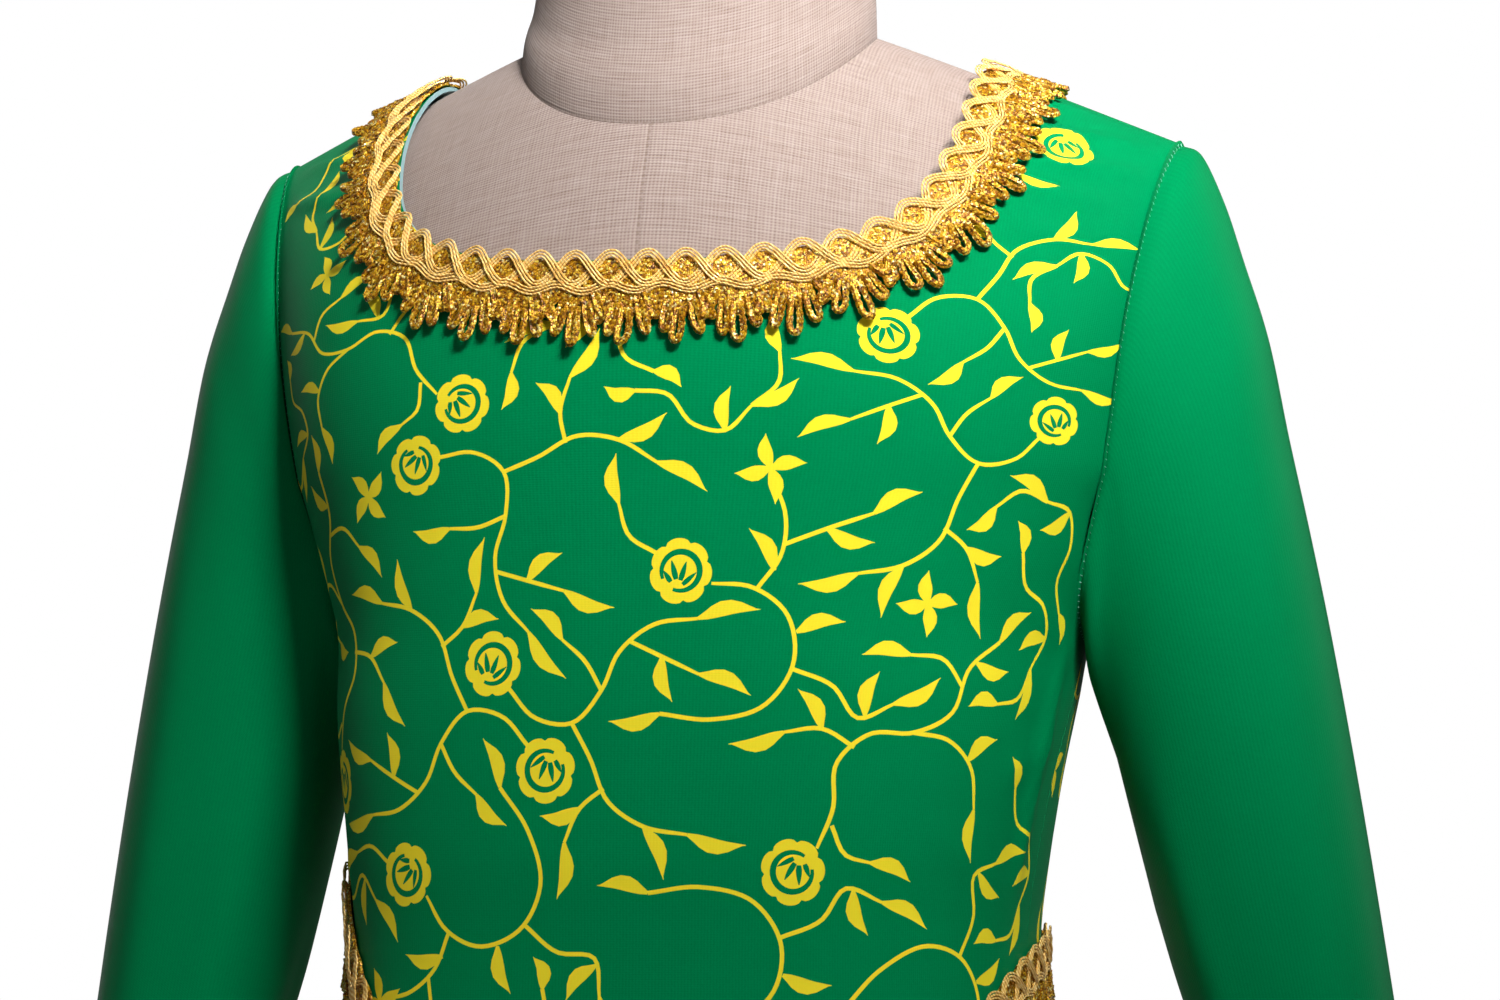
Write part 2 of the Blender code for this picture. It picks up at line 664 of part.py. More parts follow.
def ring_solid(rings):
    """Points and faces of a body made of stacked closed rings, capped at both ends."""
    rings = np.asarray(rings)
    rows, columns = rings.shape[:2]
    faces = []
    for r in range(rows - 1):
        for c in range(columns):
            a = r * columns + c
            b = r * columns + (c + 1) % columns
            faces.append((a, b, b + columns, a + columns))
    faces.append(tuple(range(columns))[::-1])
    faces.append(tuple((rows - 1) * columns + c for c in range(columns)))
    return rings.reshape(-1, 3), faces


def form_torso(material):
    """The linen body with its neck in one piece, and shoulder ends that are closed and smooth."""
    columns = 32
    angle = np.linspace(0, 2 * math.pi, columns, endpoint=False)
    levels = [0.560, 0.566, 0.580, 0.610, 0.655, 0.700, 0.750, 0.800, 0.840]
    levels += [YOKE_LEVEL + ROLL_LENGTH * share for share in (0.18, 0.36, 0.54, 0.70, 0.84, 0.94, 1.0)]
    rows = []
    for level in levels:
        rows.append(form_point(angle, np.full(columns, level)))
    rows = np.array(rows)
    points = rows.reshape(-1, 3)
    faces = []
    for r in range(len(levels) - 1):
        for c in range(columns):
            a = r * columns + c
            b = r * columns + (c + 1) % columns
            faces.append((a, b, b + columns, a + columns))
    faces.append(tuple(range(columns))[::-1])
    body = add_node("form_torso", points, faces, material)
    turn = np.linspace(0, 2 * math.pi, columns, endpoint=False)
    rings = []
    for centre_y, centre_z, half_width, half_depth, tilt in NECK:
        lean = math.radians(tilt)
        x = half_width * np.sin(turn)
        forward = half_depth * np.cos(turn)
        rings.append(np.stack([x, centre_y - forward * math.cos(lean), centre_z - forward * math.sin(lean)], -1))
    points, faces = ring_solid(rings)
    neck = add_node("form_neck_shape", points, faces, material)
    join = body.modifiers.new("join the neck", "BOOLEAN")
    join.operation = "UNION"
    join.solver = "EXACT"
    join.object = neck
    part.objects.unlink(neck)
    helpers.objects.link(neck)
    neck.hide_render = True
    return body


def turned_solid(name, profile, columns, material):
    """A round body from a table of (radius, height) points, closed on its axis."""
    turn = np.linspace(0, 2 * math.pi, columns, endpoint=False)
    rings = [np.stack([r * np.sin(turn), -r * np.cos(turn), np.full(columns, z)], -1) for r, z in profile]
    points, faces = ring_solid(rings)
    return add_node(name, points, faces, material)


for old in list(bpy.data.objects):
    bpy.data.objects.remove(old)
part = bpy.data.collections.new("costume_dress_on_dress_form")
bpy.context.scene.collection.children.link(part)
helpers = bpy.data.collections.new("joining_shapes")
helpers.hide_render = True
bpy.context.scene.collection.children.link(helpers)

printed = material_named("printed green stretch knit", GREEN_PRINT, 0.55)
plain = material_named("plain green stretch knit", GREEN, 0.55)
gold = material_named("gold metallic braid", GOLD, 0.35, 0.8)
linen = material_named("linen cover", LINEN, 0.85)
wood = material_named("turned beech", WOOD, 0.45)
steel = material_named("brushed steel tube", STEEL, 0.30, 1.0)
iron = material_named("white painted steel", IRON, 0.35)

bodice_panel("bodice_front", True, printed)
bodice_panel("bodice_back", False, printed)
skirt_panel("skirt_front", True, plain)
skirt_panel("skirt_back", False, plain)
sleeve("sleeve_left", 1, plain)
sleeve("sleeve_right", -1, plain)
neck_trim(gold)
girdle_trim(gold)
form_torso(linen)

cap_low = NECK[-1][1] + SEAM_GAP
turned_solid(
    "neck_cap",
    (
        (CAP_RADIUS - 0.001, cap_low),
        (CAP_RADIUS, cap_low + 0.001),
        (CAP_RADIUS, cap_low + CAP_HEIGHT * 0.5),
        (CAP_RADIUS * 0.9, cap_low + CAP_HEIGHT * 0.85),
        (CAP_RADIUS * 0.5, cap_low + CAP_HEIGHT),
    ),
    32,
    wood,
)
turned_solid(
    "form_pole",
    (
        (POLE_RADIUS, BASE_THICKNESS + SEAM_GAP),
        (POLE_RADIUS, FORM_SECTIONS[0][0] - SEAM_GAP),
    ),
    24,
    steel,
)
turned_solid(
    "form_base",
    (
        (BASE_RADIUS - BASE_RIM, 0.0),
        (BASE_RADIUS, BASE_RIM),
        (BASE_RADIUS, BASE_THICKNESS - BASE_RIM),
        (BASE_RADIUS - BASE_RIM, BASE_THICKNESS),
    ),
    48,
    iron,
)
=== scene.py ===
"""The finish of a child's green costume dress on a linen dress form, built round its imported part.

Lengths are in metres, the front faces -Y and the floor is at z = 0. The dress surface is the same
one that the solids use: an angle round the body from the centre front, and a level up it.
"""

import math

import bpy
import numpy as np
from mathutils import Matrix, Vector
from mathutils.geometry import delaunay_2d_cdt


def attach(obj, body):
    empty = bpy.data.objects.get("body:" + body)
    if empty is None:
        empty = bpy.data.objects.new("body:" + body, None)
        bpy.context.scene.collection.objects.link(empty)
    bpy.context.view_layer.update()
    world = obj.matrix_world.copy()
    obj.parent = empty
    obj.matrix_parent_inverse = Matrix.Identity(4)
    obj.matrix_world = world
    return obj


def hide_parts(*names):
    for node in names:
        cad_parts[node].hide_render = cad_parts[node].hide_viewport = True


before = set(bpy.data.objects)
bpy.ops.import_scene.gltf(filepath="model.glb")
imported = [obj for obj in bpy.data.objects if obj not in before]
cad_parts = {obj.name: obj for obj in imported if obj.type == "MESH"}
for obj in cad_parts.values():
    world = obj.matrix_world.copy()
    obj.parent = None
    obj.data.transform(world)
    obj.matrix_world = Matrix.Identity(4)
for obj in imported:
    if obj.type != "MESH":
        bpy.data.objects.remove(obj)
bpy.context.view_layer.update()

CLOTH_WALL = 0.0014
SEAM_GAP = 0.0003
TRIM_LIFT = 0.0009
FORM_INSET = 0.0038
FORM_SHOULDER_DROP = 0.0027

# Sections of the dress, from the hem up to the yoke.
# Columns: level, half width, half depth, centre y.
SECTIONS = (
    (0.035, 0.2280, 0.1780, 0.000),
    (0.150, 0.2080, 0.1620, -0.002),
    (0.250, 0.1880, 0.1470, -0.003),
    (0.350, 0.1660, 0.1300, -0.004),
    (0.450, 0.1430, 0.1130, -0.006),
    (0.520, 0.1280, 0.1010, -0.008),
    (0.580, 0.1170, 0.0920, -0.009),
    (0.640, 0.1085, 0.0850, -0.010),
    (0.678, 0.1056, 0.0818, -0.010),
    (0.700, 0.1052, 0.0808, -0.010),
    (0.722, 0.1076, 0.0822, -0.009),
    (0.740, 0.1100, 0.0834, -0.007),
    (0.771, 0.1146, 0.0850, -0.004),
    (0.790, 0.1168, 0.0856, -0.002),
    (0.815, 0.1262, 0.0856, 0.000),
    (0.840, 0.1355, 0.0852, 0.001),
)
# The form follows the dress in between, with its own slim hips and shoulder ends.
FORM_SECTIONS = (
    (0.560, 0.0960, 0.0740, -0.010),
    (0.566, 0.1020, 0.0790, -0.010),
    (0.580, 0.1060, 0.0825, -0.010),
    (0.610, 0.1070, 0.0832, -0.010),
    (0.640, 0.1060, 0.0825, -0.010),
) + SECTIONS[8:-2] + (
    (0.815, 0.1220, 0.0856, 0.000),
    (0.840, 0.1265, 0.0852, 0.001),
)

YOKE_LEVEL = 0.840
ROLL_LENGTH = 0.200
RIDGE_LEVEL = YOKE_LEVEL + ROLL_LENGTH
SHOULDER_SPREAD = 0.022
FORM_SHOULDER_SPREAD = 0.0145
SQUARENESS_BELOW = 0.04
SQUARENESS_LOST = 0.06
SIDE_LEAN = 0.020
SIDE_LEAN_STARTS = 0.740
TIP_X = 0.1455
TIP_Z = 0.943
SHOULDER_SLOPE = 0.417
RIDGE_SOFTENING = 0.030
NECK_POINT_X = 0.088
NECK_POINT_Y = 0.010
RIDGE_LEAN = 0.26

# Skirt flares: where each one stands round the body, how far it swells at the hem, how wide it is.
# Columns: degrees, swell, half width degrees.
FLARES = (
    (-168.0, 0.012, 13.0), (-139.0, 0.009, 11.0), (-112.0, 0.014, 12.0), (-84.0, 0.010, 12.0),
    (-57.0, 0.013, 11.0), (-30.0, 0.009, 11.0), (-6.0, 0.012, 12.0), (21.0, 0.010, 11.0),
    (47.0, 0.014, 12.0), (76.0, 0.010, 12.0), (104.0, 0.013, 12.0), (132.0, 0.009, 11.0),
    (160.0, 0.012, 12.0),
)
FLARE_TOP = 0.600
HEM_LEVEL = 0.035

# Height of the girdle's upper edge round the body. The left side sits a little higher.
# Columns: degrees, level.
GIRDLE = (
    (0.0, 0.606), (12.0, 0.618), (30.0, 0.643), (45.0, 0.664), (60.0, 0.684), (75.0, 0.700),
    (90.0, 0.710), (110.0, 0.714), (140.0, 0.711), (180.0, 0.708),
)
GIRDLE_TILT = 0.016
SEAM_BELOW_GIRDLE_TOP = 0.012

# Side seam and armhole edge, from the underarm up to the shoulder tip.
# Columns: level, degrees.
SIDE_SEAM = ((0.640, 90.0), (0.720, 90.0), (0.752, 92.8), (0.788, 97.5))
# Columns: degrees, level.
ARMHOLE_FRONT = (
    (97.5, 0.7880), (88.3, 0.7925), (79.9, 0.8030), (71.6, 0.8330), (69.4, 0.8640), (67.9, 0.8976),
    (67.6, 0.9307), (67.9, 0.9660), (68.4, 0.9983), (68.9, 1.0400),
)
ARMHOLE_BACK = (
    (97.5, 0.7880), (104.3, 0.7930), (107.3, 0.8060), (108.2, 0.8360), (109.6, 0.8703),
    (111.0, 0.9035), (112.0, 0.9360), (112.2, 0.9668), (111.8, 0.9998), (111.1, 1.0400),
)

# Neck edge from the centre to the shoulder line.
# Columns: degrees, level.
NECKLINE_FRONT = (
    (0.0, 0.8938), (4.0, 0.8941), (12.5, 0.8973), (21.3, 0.9045), (27.5, 0.9142), (32.1, 0.9288),
    (35.0, 0.9519), (36.3, 0.9787), (36.4, 1.0038), (36.2, 1.0204), (35.9, 1.0400),
)
NECKLINE_BACK = (
    (180.0, 0.9378), (167.0, 0.9449), (157.0, 0.9595), (150.4, 0.9783), (146.0, 1.0007),
    (144.3, 1.0230), (144.1, 1.0400),
)

# Sleeve sections: the upper outer point, the lower inner point, half the depth and its middle.
# Columns: outer x, outer z, inner x, inner z, half depth, centre y.
SLEEVE = (
    (0.1457, 0.9430, 0.1120, 0.7880, 0.0300, 0.0200),
    (0.1520, 0.9390, 0.1140, 0.7842, 0.0305, 0.0200),
    (0.1590, 0.9240, 0.1160, 0.7792, 0.0312, 0.0203),
    (0.1650, 0.9060, 0.1182, 0.7740, 0.0318, 0.0207),
    (0.1725, 0.8820, 0.1212, 0.7670, 0.0322, 0.0213),
    (0.1785, 0.8520, 0.1250, 0.7550, 0.0322, 0.0220),
    (0.1850, 0.8220, 0.1295, 0.7370, 0.0315, 0.0228),
    (0.1915, 0.7900, 0.1345, 0.7170, 0.0305, 0.0235),
    (0.1990, 0.7490, 0.1420, 0.6880, 0.0290, 0.0240),
    (0.2060, 0.7070, 0.1500, 0.6620, 0.0276, 0.0245),
    (0.2130, 0.6620, 0.1576, 0.6300, 0.0262, 0.0250),
    (0.2205, 0.6120, 0.1660, 0.5930, 0.0248, 0.0250),
    (0.2275, 0.5600, 0.1745, 0.5490, 0.0236, 0.0250),
)
SLEEVE_BOW_ENDS = 5

# Oval sections of the neck, from inside the body up to the cap.
# Columns: centre y, centre z, half width, half depth, tilt degrees.
NECK = (
    (-0.0075, 0.9300, 0.0560, 0.0540, 25.0),
    (-0.0092, 0.9740, 0.0555, 0.0543, 25.0),
    (-0.0040, 0.9900, 0.0532, 0.0530, 20.0),
    (0.0005, 1.0080, 0.0518, 0.0515, 12.0),
    (0.0040, 1.0260, 0.0510, 0.0520, 5.0),
    (0.0050, 1.0400, 0.0506, 0.0514, 0.0),
)
NECK_SAMPLES = 60


def smooth_value(at, places, values):
    """A smooth curve through a table: cubic pieces whose slopes come from the neighbours."""
    places = np.asarray(places, float)
    values = np.asarray(values, float)
    slopes = np.gradient(values, places)
    at = np.clip(at, places[0], places[-1])
    low = np.clip(np.searchsorted(places, at, side="right") - 1, 0, len(places) - 2)
    span = places[low + 1] - places[low]
    t = (at - places[low]) / span
    start = (2 * t**3 - 3 * t**2 + 1) * values[low] + (t**3 - 2 * t**2 + t) * span * slopes[low]
    end = (3 * t**2 - 2 * t**3) * values[low + 1] + (t**3 - t**2) * span * slopes[low + 1]
    return start + end


def flare_swell(angle, level):
    """How far the flares of the skirt stand out: none at their top and all of it at the hem."""
    drop = np.clip((FLARE_TOP - level) / (FLARE_TOP - HEM_LEVEL), 0.0, 1.0)
    swell = np.zeros(np.broadcast(angle, level).shape)
    for degrees, height, half_width in FLARES:
        away = (np.degrees(angle) - degrees + 180.0) % 360.0 - 180.0
        swell = swell + height * np.exp(-((away / half_width) ** 2))
    return swell * drop**1.4


def dress_point(
    angle, level, sections=SECTIONS, spread=SHOULDER_SPREAD, inset=0.0, drop=0.0, flares=True
):
    """The dress surface: rounded sections up to the yoke, then a roll back to the shoulder line."""
    angle = np.asarray(angle, float)
    level = np.asarray(level, float)
    table = np.array(sections)
    below = np.minimum(level, YOKE_LEVEL)
    turn = np.maximum(level - YOKE_LEVEL, 0.0) / ROLL_LENGTH * math.pi / 2
    out = flare_swell(angle, level) if flares else 0.0
    half_width = smooth_value(below, table[:, 0], table[:, 1]) - inset + out
    half_width = half_width + spread * np.sin(turn)
    half_depth = smooth_value(below, table[:, 0], table[:, 2]) - inset + out
    lean = np.clip((level - SIDE_LEAN_STARTS) / (YOKE_LEVEL - SIDE_LEAN_STARTS), 0.0, 1.0)
    lean = SIDE_LEAN * lean * lean * (3 - 2 * lean)
    centre_y = smooth_value(below, table[:, 0], table[:, 3]) + lean * np.sin(angle) ** 2
    square = SQUARENESS_BELOW - SQUARENESS_LOST * np.sin(turn) ** 2
    x = half_width * (np.sin(angle) + square * np.sin(3 * angle)) / (1 - square)
    depth = half_depth * (np.cos(angle) - square * np.cos(3 * angle)) / (1 - square)
    away = np.hypot(x, RIDGE_SOFTENING)
    ridge_z = TIP_Z + SHOULDER_SLOPE * (TIP_X - away) - drop
    ridge_y = NECK_POINT_Y + RIDGE_LEAN * (away - NECK_POINT_X)
    z = np.where(turn > 0, YOKE_LEVEL + (ridge_z - YOKE_LEVEL) * np.sin(turn), level)
    y = centre_y + (ridge_y - centre_y) * (1 - np.cos(turn)) - depth * np.cos(turn)
    return np.stack([x, y, z], -1)


def form_point(angle, level):
    """The form's own surface, a little inside the dress. The dress rests on its shoulders."""
    return dress_point(
        angle, level, FORM_SECTIONS, FORM_SHOULDER_SPREAD, FORM_INSET, FORM_SHOULDER_DROP, False
    )


def smooth_rows(at, places, rows):
    """Rows of a table read at any places, smooth between its entries."""
    return np.stack([smooth_value(at, places, column) for column in np.transpose(rows)], -1)


def between(at, run, rows):
    """Rows of a table read at any places, straight between its entries."""
    return np.stack([np.interp(at, run, column) for column in np.transpose(rows)], -1)


def unit(vectors):
    return vectors / np.maximum(np.linalg.norm(vectors, axis=-1, keepdims=True), 1e-12)


def distances(points):
    """How far along a line each of its points is."""
    return np.concatenate([[0.0], np.cumsum(np.linalg.norm(np.diff(points, axis=0), axis=1))])


def wrapped(angle):
    """The same angle, between minus half a turn and half a turn."""
    return (angle + math.pi) % (2 * math.pi) - math.pi


def dress_normal(angle, level):
    """Outward direction of the dress surface, from two short steps along it."""
    step = 1e-3
    level = np.minimum(level, RIDGE_LEVEL - 2 * step)
    across = dress_point(angle + step, level) - dress_point(angle - step, level)
    up = dress_point(angle, level + step) - dress_point(angle, level - step)
    return unit(np.cross(across, up))


def girdle_level(angle):
    """Upper edge of the girdle, lower at the centre front and on the right."""
    table = np.array(GIRDLE)
    bare = smooth_value(np.abs(np.degrees(angle)), table[:, 0], table[:, 1])
    return bare - GIRDLE_TILT * np.sin(angle)


def waist_seam_level(angle):
    return girdle_level(angle) - SEAM_BELOW_GIRDLE_TOP


def even_steps(points, count):
    """Points at even distances along a line through (angle, level) pairs."""
    run = distances(dress_point(points[:, 0], points[:, 1]))
    return smooth_rows(np.linspace(0.0, run[-1], count), run, points)


def edge_line(table, count):
    """A table of degrees and levels as evenly spaced points."""
    rows = np.array(table, float)
    rows[:, 0] = np.radians(rows[:, 0])
    return even_steps(rows, count)


def side_seam_angle(level):
    table = np.array(SIDE_SEAM)
    return np.radians(smooth_value(level, table[:, 0], table[:, 1]))


def over_point(angle, level):
    """The dress surface with levels past the shoulder line running on down the back."""
    behind = level > RIDGE_LEVEL
    angle = np.where(behind, math.pi - angle, angle)
    level = np.where(behind, 2 * RIDGE_LEVEL - level, level)
    return dress_point(angle, level)


def over_steps(angle, level):
    """Movement on that surface for one unit of angle and for one unit of level."""
    step = 1e-4
    by_angle = (over_point(angle + step, level) - over_point(angle - step, level)) / (2 * step)
    by_level = (over_point(angle, level + step) - over_point(angle, level - step)) / (2 * step)
    return by_angle, by_level


def neck_half_line(count):
    """Angles and levels of the neck edge from the centre front over the shoulder line to the
    centre back."""
    front = edge_line(NECKLINE_FRONT, NECK_SAMPLES)
    back = edge_line(NECKLINE_BACK, NECK_SAMPLES)[::-1]
    back = np.stack([math.pi - back[:, 0], 2 * RIDGE_LEVEL - back[:, 1]], -1)
    line = np.concatenate([front, back[1:]])
    run = distances(over_point(line[:, 0], line[:, 1]))
    return between(np.linspace(0.0, run[-1], count), run, line).T


# Meshes.
SHARP_DEGREES = 55


def add_object(name, data):
    made = bpy.data.objects.new(name, data)
    bpy.context.scene.collection.objects.link(made)
    return made


def add_piece(name, points, faces, finishes, slots=None, cloth_uv=None):
    """Triangles or four-sided faces from arrays, as one object at the origin that rides on the
    one body."""
    mesh = bpy.data.meshes.new(name)
    faces = np.asarray(faces, np.int32)
    starts = np.arange(0, faces.size, faces.shape[1], dtype=np.int32)
    mesh.vertices.add(len(points))
    mesh.vertices.foreach_set("co", np.asarray(points, np.float32).ravel())
    mesh.loops.add(faces.size)
    mesh.loops.foreach_set("vertex_index", faces.ravel())
    mesh.polygons.add(len(faces))
    mesh.polygons.foreach_set("loop_start", starts)
    if slots is not None:
        mesh.polygons.foreach_set("material_index", np.asarray(slots, np.int32))
    if cloth_uv is not None:
        layer = mesh.uv_layers.new(name="cloth")
        layer.data.foreach_set("uv", np.asarray(cloth_uv, np.float32)[faces.ravel()].ravel())
    mesh.update(calc_edges=True)
    mesh.validate()
    mesh.shade_smooth()
    mesh.set_sharp_from_angle(angle=math.radians(SHARP_DEGREES))
    for finish in finishes:
        mesh.materials.append(finish)
    piece = add_object(name, mesh)
    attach(piece, "root")
    return piece


def grid_faces(rows, columns, around=False):
    """Corner numbers of the four-sided faces of a grid. around joins its last column to its
    first."""
    used = columns if around else columns - 1
    r, c = np.meshgrid(np.arange(rows - 1), np.arange(used), indexing="ij")
    a = r * columns + c
    b = r * columns + (c + 1) % columns
    return np.stack([a, b, b + columns, a + columns], -1).reshape(-1, 4)


def triangles(faces):
    """Two triangles for each four-sided face."""
    return np.concatenate([faces[:, [0, 1, 2]], faces[:, [0, 2, 3]]])


def shell_faces(rows, columns, around=False):
    """Faces of a wall whose outer grid comes first and whose inner grid follows it, and its
    rim."""
    outer = grid_faces(rows, columns, around)
    behind = rows * columns
    inner = outer[:, ::-1] + behind
    a = np.arange(columns if around else columns - 1)
    b = (a + 1) % columns
    top = (rows - 1) * columns
    rims = [
        np.stack([b, a, behind + a, behind + b], -1),
        np.stack([a + top, b + top, behind + b + top, behind + a + top], -1),
    ]
    if not around:
        a = np.arange(rows - 1) * columns
        b = a + columns
        end = columns - 1
        rims.append(np.stack([a, b, behind + b, behind + a], -1))
        rims.append(np.stack([b + end, a + end, behind + a + end, behind + b + end], -1))
    return outer, inner, np.concatenate(rims)


def add_wall(name, outer, inner, finishes, uv, around=False):
    """A cloth wall between two grids of points. finishes are the outside, the inside and the
    rim."""
    rows, columns = outer.shape[:2]
    faces = shell_faces(rows, columns, around)
    slots = np.concatenate([np.full(len(part), k) for k, part in enumerate(faces)])
    points = np.concatenate([outer.reshape(-1, 3), inner.reshape(-1, 3)])
    uv = np.concatenate([uv.reshape(-1, 2)] * 2)
    return add_piece(name, points, np.concatenate(faces), finishes, slots, uv)


def tubes(paths, outs, radius, sides, closed=False):
    """A circle of points carried along each path, square to it. paths and outs are arrays of
    (path, step, xyz): a point of the ring is path + radius * (cos turn * side + sin turn * out),
    where side is square to the path and to out. Open ends are drawn to a point."""
    if closed:
        along = np.roll(paths, -1, axis=1) - np.roll(paths, 1, axis=1)
    else:
        along = np.gradient(paths, axis=1)
    side = unit(np.cross(along, outs))
    out = unit(np.cross(side, along))
    turn = np.linspace(0, 2 * math.pi, sides, endpoint=False)
    radius = np.broadcast_to(np.asarray(radius, float), paths.shape[:2])[..., None, None]
    ring = np.cos(turn)[:, None] * side[:, :, None] + np.sin(turn)[:, None] * out[:, :, None]
    points = (paths[:, :, None] + ring * radius).reshape(-1, 3)
    count, steps = paths.shape[:2]
    p, s, c = np.meshgrid(
        np.arange(count), np.arange(steps if closed else steps - 1), np.arange(sides), indexing="ij"
    )
    first = (p * steps + s) * sides
    after = (p * steps + (s + 1) % steps) * sides
    d = (c + 1) % sides
    faces = np.stack([first + c, first + d, after + d, after + c], -1)
    tris = triangles(faces.reshape(-1, 4))
    if closed:
        return points, tris
    p, c, d = p[:, 0], c[:, 0], d[:, 0]
    low = p * steps * sides
    high = low + (steps - 1) * sides
    start = np.stack([low + d, low + c, len(points) + p], -1)
    end = np.stack([high + c, high + d, len(points) + count + p], -1)
    tris = np.concatenate([tris, start.reshape(-1, 3), end.reshape(-1, 3)])
    return np.concatenate([points, paths[:, 0], paths[:, -1]]), tris


def joined(*meshes):
    """Several (points, triangles, slot) sets as one set of points, triangles and slots."""
    points, faces, slots, start = [], [], [], 0
    for p, f, slot in meshes:
        points.append(p)
        faces.append(f + start)
        slots.append(np.full(len(f), slot))
        start += len(p)
    return np.concatenate(points), np.concatenate(faces), np.concatenate(slots)


# Folds.
# Columns: from degrees, from level, to degrees, to level, height, width.
BODICE_FRONT_FOLDS = (
    (44.0, 0.958, 66.0, 0.976, 0.0019, 0.0036),
    (43.0, 0.976, 64.0, 1.002, 0.0017, 0.0034),
    (41.0, 0.942, 60.0, 0.950, 0.0014, 0.0038),
    (40.0, 0.926, 56.0, 0.926, 0.0010, 0.0040),
    (38.0, 0.990, 52.0, 1.024, 0.0013, 0.0032),
    (83.0, 0.790, 80.0, 0.710, 0.0022, 0.0045),
    (50.0, 0.733, 62.0, 0.716, 0.0010, 0.0040),
    (44.0, 0.716, 55.0, 0.700, -0.0008, 0.0040),
    (88.0, 0.760, 66.0, 0.744, 0.0009, 0.0060),
    (-84.0, 0.775, -80.0, 0.712, 0.0014, 0.0055),
    (-52.0, 0.735, -66.0, 0.715, 0.0009, 0.0050),
    (-45.0, 0.950, -64.0, 0.966, 0.0015, 0.0040),
    (-44.0, 0.972, -62.0, 0.996, 0.0013, 0.0038),
    (-88.0, 0.800, -70.0, 0.822, -0.0009, 0.0060),
    (88.0, 0.798, 68.0, 0.836, -0.0016, 0.0060),
    (90.0, 0.782, 64.0, 0.800, 0.0012, 0.0060),
    (-12.0, 0.646, -34.0, 0.668, 0.0008, 0.0060),
    (14.0, 0.650, 36.0, 0.672, 0.0008, 0.0060),
)
BODICE_BACK_FOLDS = (
    (100.0, 0.800, 122.0, 0.826, -0.0010, 0.0070),
    (262.0, 0.800, 240.0, 0.830, -0.0010, 0.0070),
    (112.0, 0.742, 142.0, 0.722, 0.0014, 0.0060),
    (250.0, 0.748, 222.0, 0.728, 0.0013, 0.0060),
    (128.0, 0.770, 158.0, 0.756, 0.0010, 0.0070),
    (232.0, 0.776, 204.0, 0.762, 0.0009, 0.0070),
    (118.0, 0.986, 132.0, 0.962, 0.0009, 0.0050),
    (244.0, 0.990, 228.0, 0.968, 0.0008, 0.0050),
    (170.0, 0.738, 196.0, 0.732, 0.0009, 0.0060),
)
ANGLE_TO_LENGTH = 0.115


def fold_height(angle, level, folds):
    """Soft ridges and troughs: each is a bell across a straight line on the cloth, and it rises
    and dies away along it as half a sine."""
    across = np.asarray(angle) * ANGLE_TO_LENGTH
    found = np.zeros(np.broadcast(across, level).shape)
    for from_degrees, from_level, to_degrees, to_level, height, width in folds:
        start = np.array([math.radians(from_degrees) * ANGLE_TO_LENGTH, from_level])
        way = np.array([math.radians(to_degrees) * ANGLE_TO_LENGTH, to_level]) - start
        length = np.hypot(*way)
        way = way / length
        share = ((across - start[0]) * way[0] + (level - start[1]) * way[1]) / length
        away = (across - start[0]) * way[1] - (level - start[1]) * way[0]
        rise = np.sin(math.pi * np.clip(share, 0.0, 1.0)) ** 0.8
        found = found + height * rise * np.exp(-((away / width) ** 2))
    return found


# Flat cloth.
FLAT_LEVELS = 220
FLAT_ANGLES = 260
FLAT_LEVEL_LOW = 0.560
FLAT_REACH_DEGREES = 125.0


class FlatCloth:
    """Where a point of a flat bodice panel lies on the body. Across is measured round the body
    from the panel's middle, and up is measured along the middle itself."""

    def __init__(self, middle):
        self.middle = middle
        self.levels = np.linspace(FLAT_LEVEL_LOW, RIDGE_LEVEL, FLAT_LEVELS)
        self.up = distances(dress_point(np.full(FLAT_LEVELS, middle), self.levels))
        turn = np.linspace(0.0, math.radians(FLAT_REACH_DEGREES), FLAT_ANGLES)
        rings = dress_point(middle + turn[None], self.levels[:, None])
        steps = np.linalg.norm(np.diff(rings, axis=1), axis=2)
        across = np.concatenate([np.zeros((FLAT_LEVELS, 1)), np.cumsum(steps, axis=1)], axis=1)
        self.reach = np.linspace(0.0, across[:, -1].min(), FLAT_ANGLES)
        self.turn = np.array([np.interp(self.reach, row, turn) for row in across])

    def place(self, across, up):
        """Angle and level of flat points, read from the table between its four nearest entries."""
        row = np.interp(up, self.up, np.arange(FLAT_LEVELS))
        column = np.interp(np.abs(across), self.reach, np.arange(FLAT_ANGLES))
        r = np.minimum(row.astype(int), FLAT_LEVELS - 2)
        c = np.minimum(column.astype(int), FLAT_ANGLES - 2)
        v, u = row - r, column - c
        low = self.turn[r, c] * (1 - u) + self.turn[r, c + 1] * u
        high = self.turn[r + 1, c] * (1 - u) + self.turn[r + 1, c + 1] * u
        turn = low * (1 - v) + high * v
        level = self.levels[r] * (1 - v) + self.levels[r + 1] * v
        return self.middle + np.sign(across) * turn, level


